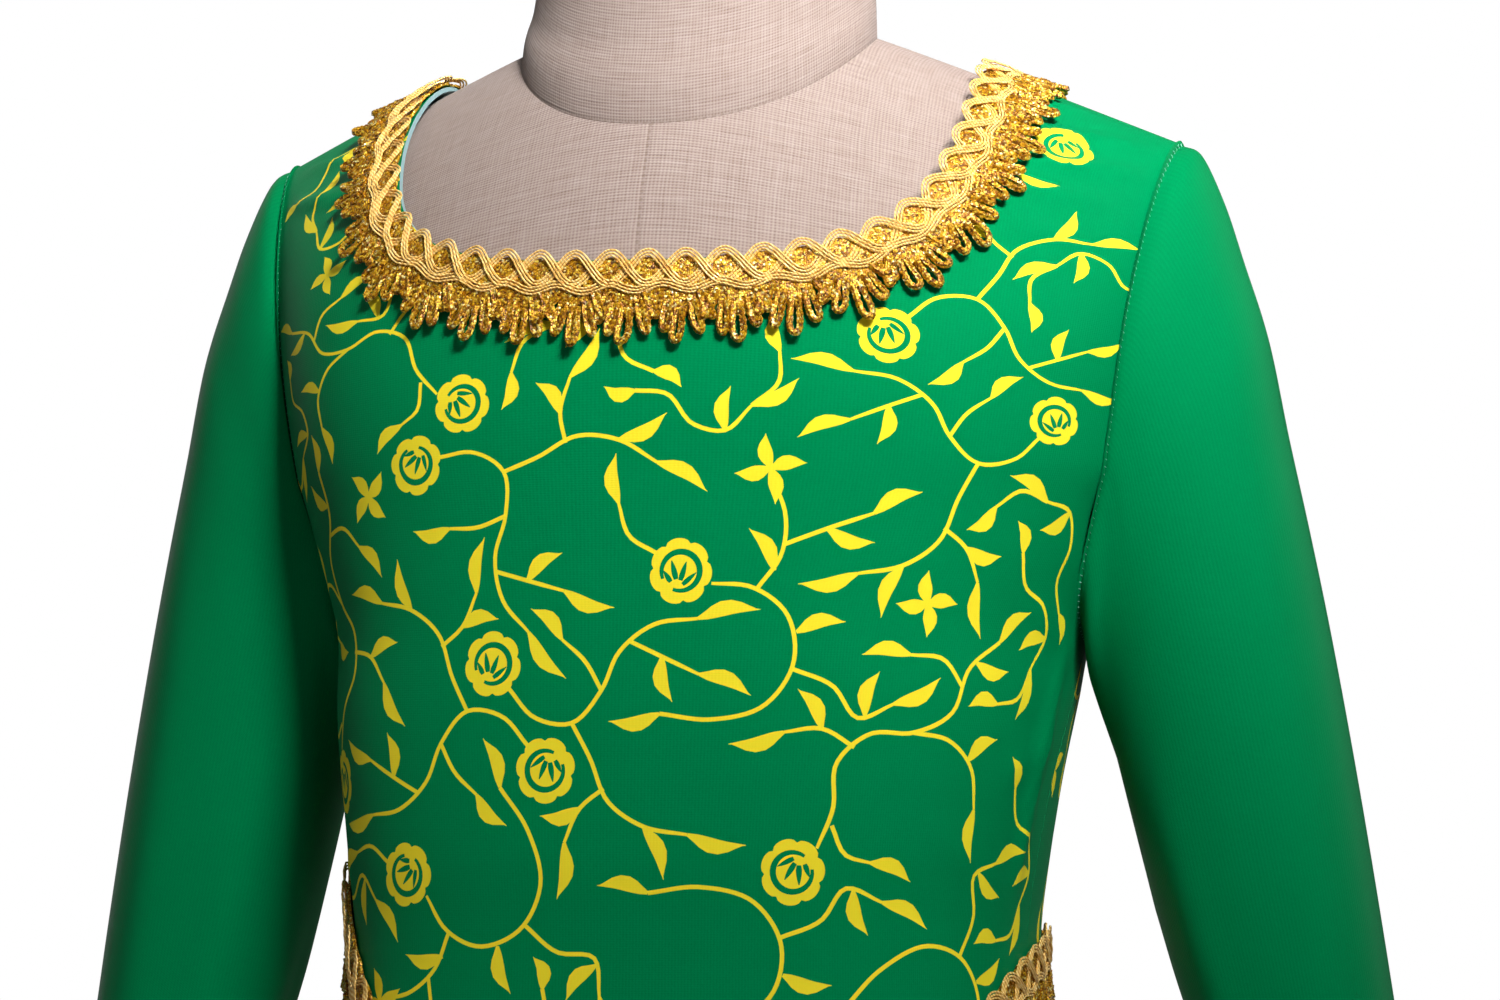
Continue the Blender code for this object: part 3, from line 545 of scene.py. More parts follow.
# Print.
# The print is drawn in millimetres. A stem is a row of points, a leaf is a place, a direction,
# a length and a bend, a rose is a place, a radius and a turn, and a star is four leaves in a cross.
STEM_WIDTH = 1.3
STEM_SPACING = 2.2
SPRAYS = {
    "long": {
        "stems": (
            ((-29, 25), (-24, 14), (-13, 8), (-1, 14), (8, 23), (21, 27), (34, 24)),
            ((-13, 8), (-11, -4), (-10, -18), (-2, -29), (10, -36)),
            ((-10, -14), (-19, -17), (-27, -25)),
            ((-1, 14), (-3, 24), (-8, 33)),
            ((12, 25), (20, 17), (29, 8)),
        ),
        "leaves": (
            (34, 24, -12, 19, 2), (10, -36, -30, 18, -2), (-2, -29, -88, 17, 2),
            (-27, -25, -118, 17, 2), (-19, -17, 170, 13, 2), (-8, 33, 118, 14, -2),
            (29, 8, -42, 17, 2), (20, 17, -96, 14, -2),
        ),
        "roses": ((-32, 34, 9.8, 20),),
        "stars": (),
    },
    "bowl": {
        "stems": (
            ((-34, 30), (-33, 14), (-26, -1), (-12, -7), (2, -2), (8, 10), (7, 22)),
            ((-14, -7), (-17, -20), (-25, -29), (-19, -39)),
            ((8, 8), (19, 3), (31, 4), (40, 9)),
            ((22, 3), (29, -9), (36, -22)),
            ((13, 40), (17, 50), (26, 55)),
        ),
        "leaves": (
            (-34, 30, 108, 16, 2), (-19, -39, -52, 17, -2), (-24, -31, -8, 14, 2),
            (36, -22, -56, 16, 2), (29, -9, -96, 15, -2), (14, 4, 42, 15, -2), (-3, -6, -68, 15, 2),
            (26, 55, 14, 15, 2),
        ),
        "roses": ((9, 32, 9.8, -35),),
        "stars": ((44, 11, 11, 18),),
    },
    "climber": {
        "stems": (
            ((-8, -44), (-4, -30), (-8, -16), (-2, -3), (8, 6), (10, 19), (2, 30), (-2, 42)),
            ((-2, -3), (-13, -9), (-25, -8), (-34, 0)),
            ((9, 12), (20, 14), (28, 22)),
            ((-6, -24), (5, -26), (14, -20)),
            ((-1, 34), (-10, 38), (-17, 35)),
        ),
        "leaves": (
            (-8, -44, -104, 16, 2), (-5, -33, -150, 14, -2), (-34, 0, 128, 16, -2),
            (-22, -9, -112, 14, 2), (28, 22, 52, 17, 2), (20, 14, -18, 14, -2),
            (14, -20, 40, 15, -2), (-17, 35, 196, 14, 2),
        ),
        "roses": ((-1, 52, 9.8, 70),),
        "stars": ((20, -35, 10, 40),),
    },
    "sprig": {
        "stems": (
            ((-22, 6), (-12, 5), (-4, -4), (6, -6), (14, 2)),
            ((14, 2), (22, 10), (22, 20)),
        ),
        "leaves": (
            (-22, 6, 172, 10, 2), (6, -6, 84, 14, 2), (14, 2, 34, 17, -2), (22, 20, 96, 12, 2),
        ),
        "roses": (),
        "stars": (),
    },
}

ROSE_PETALS = 7
ROSE_RING_REACH = 2.75
# Slashes in a rose's core, for a radius of one.
# Columns: across, up, slant degrees, length, width.
ROSE_SLASHES = (
    (-0.44, -0.02, 80, 0.42, 0.085),
    (-0.27, -0.08, 60, 0.60, 0.095),
    (-0.20, -0.20, 28, 0.60, 0.090),
    (-0.24, -0.34, -4, 0.56, 0.080),
)

# Where each spray stands on a flat panel: across from the middle and up, in millimetres.
# Columns: spray, across, up, turn degrees, mirrored.
FRONT_LAYOUT = (
    ("long", 0, 200, 20, 0), ("bowl", 48, 234, 80, 0), ("climber", 86, 199, 140, 0),
    ("long", 93, 278, 340, 1), ("bowl", 45, 124, 100, 1), ("long", -65, 210, 200, 0),
    ("bowl", -45, 139, 40, 1),
    ("climber", -112, 238, 180, 1),
    ("long", -26, 272, 120, 1), ("bowl", -71, 72, 160, 0), ("long", 46, 42, 20, 0),
    ("bowl", 114, 119, 140, 1), ("climber", -99, 329, 240, 1), ("long", 109, 22, 0, 1),
    ("bowl", -75, 375, 300, 1), ("long", 121, 347, 160, 1), ("bowl", -130, 138, 80, 1),
    ("climber", -51, 14, 300, 0), ("long", 82, 410, 240, 0), ("sprig", -119, 382, 340, 1),
    ("sprig", 25, 297, 0, 0), ("sprig", -133, 75, 280, 0), ("sprig", -14, 103, 100, 1),
    ("sprig", -111, 13, 0, 1), ("sprig", 136, 234, 100, 1), ("sprig", 143, 259, 120, 0),
    ("sprig", -129, 424, 200, 1), ("sprig", -10, 322, 160, 0), ("sprig", -144, 211, 260, 1),
    ("sprig", 142, 163, 100, 1), ("sprig", -1, 14, 260, 1), ("sprig", -134, 303, 100, 1),
    ("sprig", 145, 366, 180, 0),
)
BACK_LAYOUT = (
    ("long", 0, 200, 80, 0), ("bowl", 13, 256, 320, 1), ("climber", 67, 206, 160, 1),
    ("long", 101, 164, 180, 0), ("bowl", -20, 128, 60, 0), ("long", 79, 293, 180, 0),
    ("bowl", 21, 353, 140, 1), ("climber", 9, 84, 140, 0), ("long", 98, 93, 280, 1),
    ("bowl", -44, 349, 140, 1), ("long", -110, 318, 300, 0), ("bowl", -97, 115, 220, 1),
    ("climber", -84, 253, 220, 0), ("long", 73, 33, 260, 0), ("bowl", -89, 42, 80, 0),
    ("long", -111, 384, 120, 0), ("bowl", 78, 376, 320, 0),
    ("climber", -119, 204, 260, 0),
    ("long", -25, 416, 80, 0), ("long", 142, 278, 200, 1), ("sprig", -127, 154, 280, 0),
    ("sprig", -8, 32, 200, 1), ("sprig", 72, 128, 160, 1), ("sprig", 39, 13, 40, 1),
)

PRINTED_LAYERS = (1, 3)


def curved(points, spacing):
    """A smooth line through points, with steps of about the given length."""
    points = np.asarray(points, float)
    run = distances(points)
    at = np.linspace(0.0, run[-1], max(3, int(run[-1] / spacing) + 1))
    return smooth_rows(at, run, points)


def turned(points, degrees):
    """Flat points turned anticlockwise round the origin."""
    c, s = math.cos(math.radians(degrees)), math.sin(math.radians(degrees))
    return points @ np.array([[c, s], [-s, c]])


def ribbon(line, half_width):
    """Outline of a strip: the line moved to its left and back again on its right."""
    along = np.gradient(line, axis=0)
    along = along / np.hypot(along[:, :1], along[:, 1:])
    left = np.stack([-along[:, 1], along[:, 0]], -1) * np.asarray(half_width)[:, None]
    return np.concatenate([line - left, (line + left)[::-1]])


def leaf_outline(x, y, degrees, length, bend):
    """An almond leaf on a short stalk. Its half width is a sine that leans to the root, and its
    middle line bows to one side."""
    share = np.array([0.0, 0.14, 0.26, 0.4, 0.55, 0.7, 0.84, 0.94, 1.0])
    middle = np.stack([share * length, bend * np.sin(math.pi * share) ** 1.5], -1)
    half = 0.5 * (1 - share) + 2.05 * np.sin(math.pi * share**0.9) ** 1.3
    half[-1] = 0.08
    return turned(ribbon(middle, half), degrees) + np.array([x, y])


def rose_outlines(x, y, radius, degrees):
    """A rose seen from above: seven scallops round a dark ring, and a core with slashed petals."""
    turn = np.linspace(0, 2 * math.pi, 57)[:-1]
    petal = np.abs(np.cos(ROSE_PETALS / 2 * turn)) ** 0.5
    scallop = radius * (0.88 + 0.125 * petal + 0.02 * np.sin(2 * turn))
    outer = np.stack([np.cos(turn), np.sin(turn)], -1) * scallop[:, None]
    arc = np.linspace(-ROSE_RING_REACH, ROSE_RING_REACH, 29)
    curve = np.stack([np.cos(arc), np.sin(arc)], -1) * radius * 0.60
    ring = ribbon(curve, radius * (0.012 + 0.085 * np.cos(arc / ROSE_RING_REACH * 1.3) ** 0.6))
    shapes = [(1, outer), (2, ring)]
    share = np.linspace(0, 1, 5)[:, None]
    for across, up, slant, length, width in ROSE_SLASHES:
        way = turned(np.array([1.0, 0.0]), slant)
        line = np.array([across, up]) + share * length * way
        half = width * np.array([0.75, 1.0, 0.9, 0.6, 0.15])
        shapes.append((4, ribbon(line * radius, half * radius)))
    return [(layer, turned(shape, degrees) + np.array([x, y])) for layer, shape in shapes]


def spray_outlines(name):
    """Every outline of one spray with its layer, in millimetres."""
    spray = SPRAYS[name]
    shapes = []
    for stem in spray["stems"]:
        line = curved(stem, STEM_SPACING)
        half = np.full(len(line), STEM_WIDTH / 2)
        half[-3:] *= (0.9, 0.8, 0.7)
        shapes.append((1, ribbon(line, half)))
    for leaf in spray["leaves"]:
        shapes.append((1, leaf_outline(*leaf)))
    for x, y, length, degrees in spray["stars"]:
        for quarter in range(4):
            shapes.append((1, leaf_outline(x, y, degrees + 90 * quarter, length, 1)))
    for rose in spray["roses"]:
        shapes.extend(rose_outlines(*rose))
    return shapes


def print_outlines(layout, cloth):
    """The whole print of a panel as (layer, outline) in angle and level."""
    found = []
    for name, across, up, degrees, mirrored in layout:
        for layer, shape in spray_outlines(name):
            points = shape * np.array([-1.0, 1.0]) if mirrored else shape
            points = turned(points, degrees) + np.array([across, up])
            found.append((layer, np.stack(cloth.place(*points.T / 1000), -1)))
    return found


SIDE_SEAM_STEPS = 60
ARMHOLE_STEPS = 97
STRAP_STEPS = 24
NECK_STEPS = 120
WAIST_STEPS = 150


def armhole_side(table, side):
    """One side of a panel in fine steps: the side seam, then the armhole up to the shoulder."""
    start = float(waist_seam_level(side * math.pi / 2)) + SEAM_GAP / 2
    levels = np.linspace(start, SIDE_SEAM[-1][0], SIDE_SEAM_STEPS)[:-1]
    seam = np.stack([side_seam_angle(levels), levels], -1)
    return np.concatenate([seam, edge_line(table, ARMHOLE_STEPS)]) * np.array([side, 1.0])


def panel_outline(is_front):
    """The closed edge of a bodice panel in angle and level, anticlockwise from its lower corner."""
    armhole = ARMHOLE_FRONT if is_front else ARMHOLE_BACK
    neck = NECKLINE_FRONT if is_front else NECKLINE_BACK
    sides = []
    for side in (1, -1):
        strap = np.radians(np.linspace(armhole[-1][0], neck[-1][0], STRAP_STEPS)[1:-1]) * side
        strap = np.stack([strap, np.full(len(strap), RIDGE_LEVEL)], -1)
        edge = edge_line(neck, NECK_STEPS)[::-1] * np.array([side, 1.0])
        whole = 2 * math.pi if side < 0 and not is_front else 0.0
        parts = (armhole_side(armhole, side), strap, edge)
        sides.append([part + np.array([whole, 0.0]) for part in parts])
    near, far = sides if is_front else sides[::-1]
    low = np.linspace(far[0][0, 0], near[0][0, 0], WAIST_STEPS)[1:-1]
    low = np.stack([low, waist_seam_level(wrapped(low)) + SEAM_GAP / 2], -1)
    return np.concatenate([*near, np.concatenate(far)[::-1][1:], low])


CLOTH_SPACING = 0.0042
NET_HALF_WIDTH = 0.20
NET_HEIGHT = 0.50
ROW_SHARE = 0.866
CHART_SCALE = 0.1
CHART_STEP = 1e-6
EDGE_REACH = 3e-6
NEAR = 1e-5
# The side seams are where the angle's sine is over SIDE_SINE, and the neck edge is where it is
# under NECK_SINE above NECK_LOW.
SIDE_SINE = 0.985
NECK_SINE = 0.62
NECK_LOW = 0.85
# Points that are looked at in one step, to keep the memory small.
AT_ONCE = 2000


def cloth_net(cloth):
    """A net of points all over a flat panel, in angle and level: every other row is half a step
    along, so that its triangles are even."""
    across = np.arange(-NET_HALF_WIDTH, NET_HALF_WIDTH, CLOTH_SPACING)
    up = np.arange(0.0, NET_HEIGHT, CLOTH_SPACING * ROW_SHARE)
    across, up = np.meshgrid(across, up)
    across[1::2] += CLOTH_SPACING / 2
    angle, level = cloth.place(across.ravel(), np.minimum(up.ravel(), cloth.up[-1]))
    inside = (np.abs(across.ravel()) < cloth.reach[-1]) & (up.ravel() < cloth.up[-1])
    return np.stack([angle, level], -1)[inside]


def cut_cloth(edge, shapes, net):
    """Triangles in angle and level that fill the edge and follow every outline of the print, with
    1 for each printed one. The top layer there is the one that shows."""
    chart = np.array([CHART_SCALE, 1.0])
    loops = [edge] + [shape for _, shape in shapes]
    points = np.concatenate(loops + [net]) * chart
    lines, start = [], 0
    for loop in loops:
        number = start + np.arange(len(loop))
        lines += np.stack([number, np.roll(number, -1)], -1).tolist()
        start += len(loop)
    made, _, faces, _, _, _ = delaunay_2d_cdt(
        [Vector(p) for p in points.tolist()], lines, [], 0, CHART_STEP, False
    )
    made = np.array([tuple(p) for p in made]) / chart
    faces = np.array(faces)
    faces = faces[within(made[faces].mean(axis=1), edge)]
    middles = made[faces].mean(axis=1)
    top = np.zeros(len(faces), int)
    for layer, shape in shapes:
        low, high = shape.min(axis=0), shape.max(axis=0)
        near = np.flatnonzero(((middles > low) & (middles < high)).all(axis=1))
        hit = near[within(middles[near], shape)]
        top[hit] = np.maximum(top[hit], layer)
    used, faces = np.unique(faces, return_inverse=True)
    return made[used], faces.reshape(-1, 3), np.isin(top, PRINTED_LAYERS).astype(int)


def printed_panel(name, is_front, finishes):
    """A bodice panel with its print cut into its mesh: cut in angle and level, laid on the dress
    surface, raised by the folds and given a wall."""
    cloth = FlatCloth(0.0 if is_front else math.pi)
    edge = panel_outline(is_front)
    shapes = print_outlines(FRONT_LAYOUT if is_front else BACK_LAYOUT, cloth)
    spots, faces, slots = cut_cloth(edge, shapes, cloth_net(cloth))
    angle, level = spots.T
    out = dress_normal(angle, level)
    lift = fold_height(angle, level, BODICE_FRONT_FOLDS if is_front else BODICE_BACK_FOLDS)
    outer = dress_point(angle, level) + out * lift[:, None]
    inner = outer - out * CLOTH_WALL
    seam = on_edge(spots, edge)
    ridge = seam & (level > RIDGE_LEVEL - NEAR)
    sideways = seam & (level < SIDE_SEAM[-1][0] + NEAR) & (np.abs(np.sin(angle)) > SIDE_SINE)
    for points in (outer, inner):
        points[ridge | sideways, 1] += SEAM_GAP / 2 * (-1.0 if is_front else 1.0)
    count = len(spots)
    # A side that only one triangle uses is on the rim.
    ways = np.concatenate([faces[:, [0, 1]], faces[:, [1, 2]], faces[:, [2, 0]]])
    _, first, uses = np.unique(np.sort(ways, axis=1), axis=0, return_index=True, return_counts=True)
    a, b = ways[first[uses == 1]].T
    rim = np.stack([b, a, a + count, b, a + count, b + count], -1).reshape(-1, 3)
    start = np.repeat(b, 2)
    at_neck = (np.abs(np.sin(angle[start])) < NECK_SINE) & (level[start] > NECK_LOW)
    faces = np.concatenate([faces, faces[:, ::-1] + count, rim])
    slots = np.concatenate([slots, np.full(len(slots), 2), np.where(at_neck, 2, 0)])
    uv = np.stack([(angle - cloth.middle) * ANGLE_TO_LENGTH, level], -1)
    points = np.concatenate([outer, inner])
    return add_piece(name, points, faces, finishes, slots, np.concatenate([uv, uv]))


def within(points, loop):
    """Whether each point is inside a closed line: the line winds round it."""
    found = np.zeros(len(points), bool)
    x0, y0 = loop.T
    x1, y1 = np.roll(loop, -1, axis=0).T
    for first in range(0, len(points), AT_ONCE):
        x, y = points[first : first + AT_ONCE].T[:, :, None]
        side = (x1 - x0) * (y - y0) - (x - x0) * (y1 - y0)
        rises = (y0 <= y) & (y1 > y) & (side > 0)
        falls = (y0 > y) & (y1 <= y) & (side < 0)
        winds = rises.sum(axis=1) - falls.sum(axis=1)
        found[first : first + AT_ONCE] = winds != 0
    return found


def on_edge(spots, edge):
    """Whether each point lies on the closed edge line."""
    scale = np.array([CHART_SCALE, 1.0])
    start = edge * scale
    way = np.roll(start, -1, axis=0) - start
    length = np.maximum((way**2).sum(-1), 1e-18)
    found = np.zeros(len(spots), bool)
    for first in range(0, len(spots), AT_ONCE):
        part = (spots[first : first + AT_ONCE] * scale)[:, None]
        share = np.clip(((part - start) * way).sum(-1) / length, 0, 1)
        gap = np.linalg.norm(part - start - share[..., None] * way, axis=-1).min(axis=1)
        found[first : first + AT_ONCE] = gap < EDGE_REACH
    return found


# Sleeves and skirt.
SLEEVE_TURNS = 24 * 6
SLEEVE_ROWS = 150
LEAVING_ROW = 12
# Columns: turn degrees, drift degrees, from row, to row, height, width degrees.
SLEEVE_FOLDS = {
    1: (
        (150.0, 12.0, 0.6, 5.2, 0.0018, 13.0),
        (196.0, -10.0, 0.8, 4.6, 0.0016, 12.0),
        (52.0, 16.0, 5.0, 11.8, 0.0012, 16.0),
        (128.0, -14.0, 6.0, 11.6, 0.0016, 13.0),
        (236.0, 20.0, 4.2, 9.6, 0.0014, 14.0),
        (300.0, -14.0, 6.4, 11.8, 0.0012, 15.0),
        (172.0, 6.0, 7.4, 11.9, -0.0016, 12.0),
    ),
    -1: (
        (156.0, 10.0, 0.7, 5.0, 0.0017, 13.0),
        (202.0, -12.0, 0.9, 5.2, 0.0016, 12.0),
        (60.0, 12.0, 5.4, 11.8, 0.0012, 15.0),
        (120.0, -12.0, 5.6, 11.6, 0.0017, 13.0),
        (242.0, 16.0, 4.6, 9.8, 0.0013, 14.0),
        (292.0, -12.0, 6.0, 11.8, 0.0012, 16.0),
        (176.0, 4.0, 7.0, 11.8, -0.0016, 12.0),
    ),
}
SLEEVE_UV_RADIUS = 0.030
# Depth and half width of the dips where cloth is sewn.
ARMHOLE_DIP = (0.0003, 0.0012)
CUFF_DIP = (0.0004, 0.0012)
HEM_DIP = (0.0006, 0.003)
STITCH_SPACING = 0.0023
STITCH_FIRST = 0.004
STITCH_LAST = 0.003
STITCH_HALF = 0.0008
STITCH_SLANT = 0.55
STITCH_RADIUS = 0.00012
STITCH_LIFT = 0.0003
STITCH_PLUNGE = 0.0005
SKIRT_COLUMNS = 130
SKIRT_ROWS = 80
SKIRT_UV_RADIUS = 0.15
# Columns: degrees, drift degrees, from level, to level, height, width degrees.
SKIRT_FOLDS = (
    (8.0, 3.0, 0.20, 0.60, 0.0018, 3.2),
    (34.0, -3.0, 0.30, 0.63, 0.0022, 2.8),
    (62.0, 4.0, 0.26, 0.66, 0.0020, 3.4),
    (90.0, -2.0, 0.34, 0.68, 0.0024, 3.0),
    (118.0, 3.0, 0.24, 0.68, 0.0018, 3.2),
    (148.0, -4.0, 0.30, 0.66, 0.0022, 3.0),
    (176.0, 2.0, 0.22, 0.66, 0.0020, 3.4),
    (204.0, -3.0, 0.32, 0.66, 0.0020, 2.8),
    (232.0, 4.0, 0.28, 0.67, 0.0023, 3.2),
    (262.0, -3.0, 0.24, 0.67, 0.0018, 3.0),
    (290.0, 3.0, 0.34, 0.66, 0.0021, 3.2),
    (318.0, -4.0, 0.26, 0.64, 0.0022, 3.0),
    (344.0, 3.0, 0.30, 0.60, 0.0017, 2.8),
)
HEM_FOLD = 0.020
FLAT_UNDER_WAIST = 0.02


def seam_dip(distance, depth, width):
    """Cloth rolls in where it is sewn: deepest on the seam, and gone a few millimetres away."""
    return -depth * np.exp(-((np.abs(distance) / width) ** 1.5))


def sleeve_grid():
    """Points of the left sleeve: ovals from the armhole down to the wrist, bowed onto the
    armhole's edge, with the outward direction, and how far down and round each point is."""
    front = edge_line(ARMHOLE_FRONT, SLEEVE_TURNS // 2 + 1)[::-1]
    back = edge_line(ARMHOLE_BACK, SLEEVE_TURNS // 2 + 1)
    loop = np.concatenate([front[:-1], back[:-1]])
    edge = dress_point(loop[:, 0], loop[:, 1])
    last = len(SLEEVE) - 1
    row = np.linspace(0.0, 1.0, SLEEVE_ROWS) ** 1.15 * last
    values = smooth_rows(row, np.arange(last + 1), SLEEVE)
    outer_point, inner_point = values[:, [0, 5, 1]], values[:, [2, 5, 3]]
    middle = (outer_point + inner_point) / 2
    reach = (outer_point - inner_point) / 2
    forward = values[:, [4]] * np.array([0.0, -1.0, 0.0])
    turn = np.linspace(0, 2 * math.pi, SLEEVE_TURNS, endpoint=False)
    rings = middle[:, None] + np.cos(turn)[None, :, None] * reach[:, None]
    rings = rings + np.sin(turn)[None, :, None] * forward[:, None]
    fade = np.clip(1.0 - row / SLEEVE_BOW_ENDS, 0.0, 1.0)
    fade = fade * fade * (3 - 2 * fade)
    along = unit(rings[LEAVING_ROW] - rings[0])
    rings = rings + fade[:, None, None] * (edge - rings[0])
    rings[0] = rings[0] + along * SEAM_GAP
    ring_step = np.roll(rings, -1, axis=1) - np.roll(rings, 1, axis=1)
    out = unit(np.cross(ring_step, np.gradient(rings, axis=0)))
    out = out * np.sign((out * (rings - rings.mean(axis=1, keepdims=True))).sum(-1).mean())
    return rings, out, row, turn, distances(middle)


def sleeve_fold_height(row, turn, side):
    """Lengthwise folds: a bell across the turn that drifts sideways on its way down."""
    found = np.zeros((len(row), len(turn)))
    for degrees, drift, low, high, height, width in SLEEVE_FOLDS[side]:
        share = np.clip((row - low) / (high - low), 0, 1)[:, None]
        away = (np.degrees(turn) - degrees - drift * share + 180) % 360 - 180
        found += height * np.sin(math.pi * share) ** 0.9 * np.exp(-((away / width) ** 2))
    return found


def sleeve(name, side, finishes):
    """A long sleeve as a wall, open at the wrist, with a narrow turned hem."""
    rings, out, row, turn, down = sleeve_grid()
    dip = seam_dip(down, *ARMHOLE_DIP) + seam_dip(down[-1] - HEM_FOLD - down, *CUFF_DIP)
    lift = sleeve_fold_height(row, turn, side) + dip[:, None]
    outer = rings + out * lift[..., None]
    inner = outer - out * CLOTH_WALL
    uv = np.stack(np.broadcast_arrays(turn * SLEEVE_UV_RADIUS, down[:, None]), -1)
    # The left sleeve's rings are turned round, so that both sleeves' faces look outwards.
    mirror, way = np.array([side, 1.0, 1.0]), -side
    outer, inner = outer[:, ::way] * mirror, inner[:, ::way] * mirror
    return add_wall(name, outer, inner, finishes, uv[:, ::way], True)


def armhole_stitches(name, finishes):
    """Slanting stitches over both armhole seams, each a short thread that dips in at its ends."""
    share = np.linspace(-1, 1, 7)[None, :, None]
    paths, outs = [], []
    for side in (1.0, -1.0):
        for table in (ARMHOLE_FRONT, ARMHOLE_BACK):
            angle, level = edge_line(table, 600).T
            edge = dress_point(angle, level)
            run = distances(edge)
            at = np.arange(STITCH_FIRST, run[-1] - STITCH_LAST, STITCH_SPACING)
            middle = between(at, run, edge)
            normal = between(at, run, dress_normal(angle, level))
            along = unit(between(at + 0.001, run, edge) - middle)
            lean = unit(np.cross(normal, along) + STITCH_SLANT * along)
            path = middle[:, None] + lean[:, None] * (share * STITCH_HALF)
            path = path + normal[:, None] * (STITCH_LIFT - STITCH_PLUNGE * share**4)
            mirror = np.array([side, 1.0, 1.0])
            paths.append(path * mirror)
            outs.append(np.broadcast_to(normal[:, None] * mirror, path.shape))
    points, tris = tubes(np.concatenate(paths), np.concatenate(outs), STITCH_RADIUS, TUBE_SIDES)
    return add_piece(name, points, tris, finishes)


def skirt_fold_height(angle, level):
    """Folds that fall from the waist: a bell across the angle, widening downwards."""
    found = np.zeros(np.broadcast(angle, level).shape)
    degrees = np.degrees(angle)
    for place, drift, low, high, height, width in SKIRT_FOLDS:
        share = np.clip((high - level) / (high - low), 0, 1)
        away = (degrees - place - drift * share + 180) % 360 - 180
        spread = width * (1 + 0.6 * share)
        found = found + height * np.sin(math.pi * share) ** 0.9 * np.exp(-((away / spread) ** 2))
    return found


def skirt(name, is_front, finishes):
    """Half of the skirt as a wall between the side seams, from the waist seam to the hem."""
    middle = 0.0 if is_front else math.pi
    angle = np.linspace(middle - math.pi / 2, middle + math.pi / 2, SKIRT_COLUMNS)
    top = waist_seam_level(wrapped(angle)) - SEAM_GAP / 2
    share = np.linspace(0, 1, SKIRT_ROWS)[:, None]
    level = HEM_LEVEL + (top[None] - HEM_LEVEL) * share
    angles = np.broadcast_to(angle, level.shape)
    out = dress_normal(angles, level)
    lift = skirt_fold_height(angles, level)
    lift = lift + seam_dip(level - HEM_LEVEL - HEM_FOLD, *HEM_DIP)
    lift = lift * np.clip((top[None] - level) / FLAT_UNDER_WAIST, 0, 1)
    outer = dress_point(angles, level) + out * lift[..., None]
    inner = outer - out * CLOTH_WALL
    for points in (outer, inner):
        points[:, [0, -1], 1] += SEAM_GAP / 2 * (-1.0 if is_front else 1.0)
    uv = np.stack([angles * SKIRT_UV_RADIUS, level], -1)
    return add_wall(name, outer, inner, finishes, uv)


# Looped braid trim.
NECK_MOTIFS = 36
GIRDLE_MOTIFS = 40
BAND_EDGE = -0.0003
BAND_WIDTH = 0.0120
BAND_STEPS = 20
BAND_PITCH = 0.0009
BAND_SCALLOP = 0.0074
BAND_THICKNESS = 0.0003
BAND_CROWN = 0.0008
BAND_ROUGHNESS = 0.00055
BAND_SUNK = 0.0002
UPPER_SCALLOP = 0.0010
LOWER_SCALLOP_START = 0.0006
WAVE_LENGTH = 0.0232
# Columns: wave length, phase, reach, middle and the swing of its height.
WAVES = (
    (WAVE_LENGTH, 0.0, 0.0048, 0.0034, 0.00055),
    (WAVE_LENGTH, math.pi, 0.0048, 0.0034, 0.00055),
    (0.0164, 0.6, 0.0011, 0.0092, 0.0002),
)
WAVE_STEPS = 26
CORDS = 3
CORD_LIFT = 0.0018
CORD_RADIUS = 0.00034
CORD_SPACING = 0.00094
CORD_WANDER = 0.00012
WANDER_RATE = 7.3
TUBE_SIDES = 5
LOOP_RADIUS = 0.00108
LOOP_STEPS = 25
LOOP_LIFT = 0.0002
LOOP_CURL = 0.0014
MIDDLE_LOOP_LIFT = 0.0004
# How much chance changes a loop's length, lean and width.
LENGTH_CHANCE = 0.05
LEAN_CHANCE = 0.070
WIDTH_CHANCE = 0.06
# Columns: offset, root, reach, width, lean degrees.
LOOPS = (
    (0.0, 0.0160, 0.0262, 0.0046, 0.0),
    (-0.0034, 0.0132, 0.0228, 0.0036, -12.0),
    (0.0034, 0.0132, 0.0228, 0.0036, 12.0),
    (-0.0058, 0.0108, 0.0186, 0.0032, -22.0),
    (0.0058, 0.0108, 0.0186, 0.0032, 22.0),
)


class NeckLine:
    """The neck edge all the way round. along runs from the centre front to the wearer's left,
    over the shoulder to the centre back and round again; across leads away from the neck."""

    def __init__(self):
        angle, level = neck_half_line(400)
        places = over_point(angle, level)
        run = distances(places)
        along = np.gradient(places, axis=0)
        along[0, 1:] = 0.0
        along[-1, 1:] = 0.0
        by_angle, by_level = over_steps(angle, level)
        across = unit(np.cross(unit(along), unit(np.cross(by_angle, by_level))))
        ways = [
            np.linalg.lstsq(np.stack(pair, -1), way, rcond=None)[0]
            for *pair, way in zip(by_angle, by_level, across)
        ]
        self.run, self.angle, self.level, self.ways = run, angle, level, np.array(ways)
        self.length = 2 * run[-1]

    def place(self, along, across, height):
        """Points on the dress at a distance along and across, raised by height, and the outward
        direction there."""
        along, across, height = np.broadcast_arrays(along, across, height)
        half = self.length / 2
        offset = (along + half) % self.length - half
        side = np.where(offset < 0, -1.0, 1.0)
        away = np.abs(offset)
        ways = between(away, self.run, self.ways)
        angle = np.interp(away, self.run, self.angle) + ways[..., 0] * across
        level = np.interp(away, self.run, self.level) + ways[..., 1] * across
        by_angle, by_level = over_steps(angle, level)
        out = unit(np.cross(by_angle, by_level))
        points = over_point(angle, level) + out * height[..., None]
        mirror = np.stack([side, np.ones_like(side), np.ones_like(side)], -1)
        return points * mirror, out * mirror


# Where the edge is steep, across still leads down by this share of itself.
LEAST_RUN = 0.4
WAIST_RADIUS = 0.100


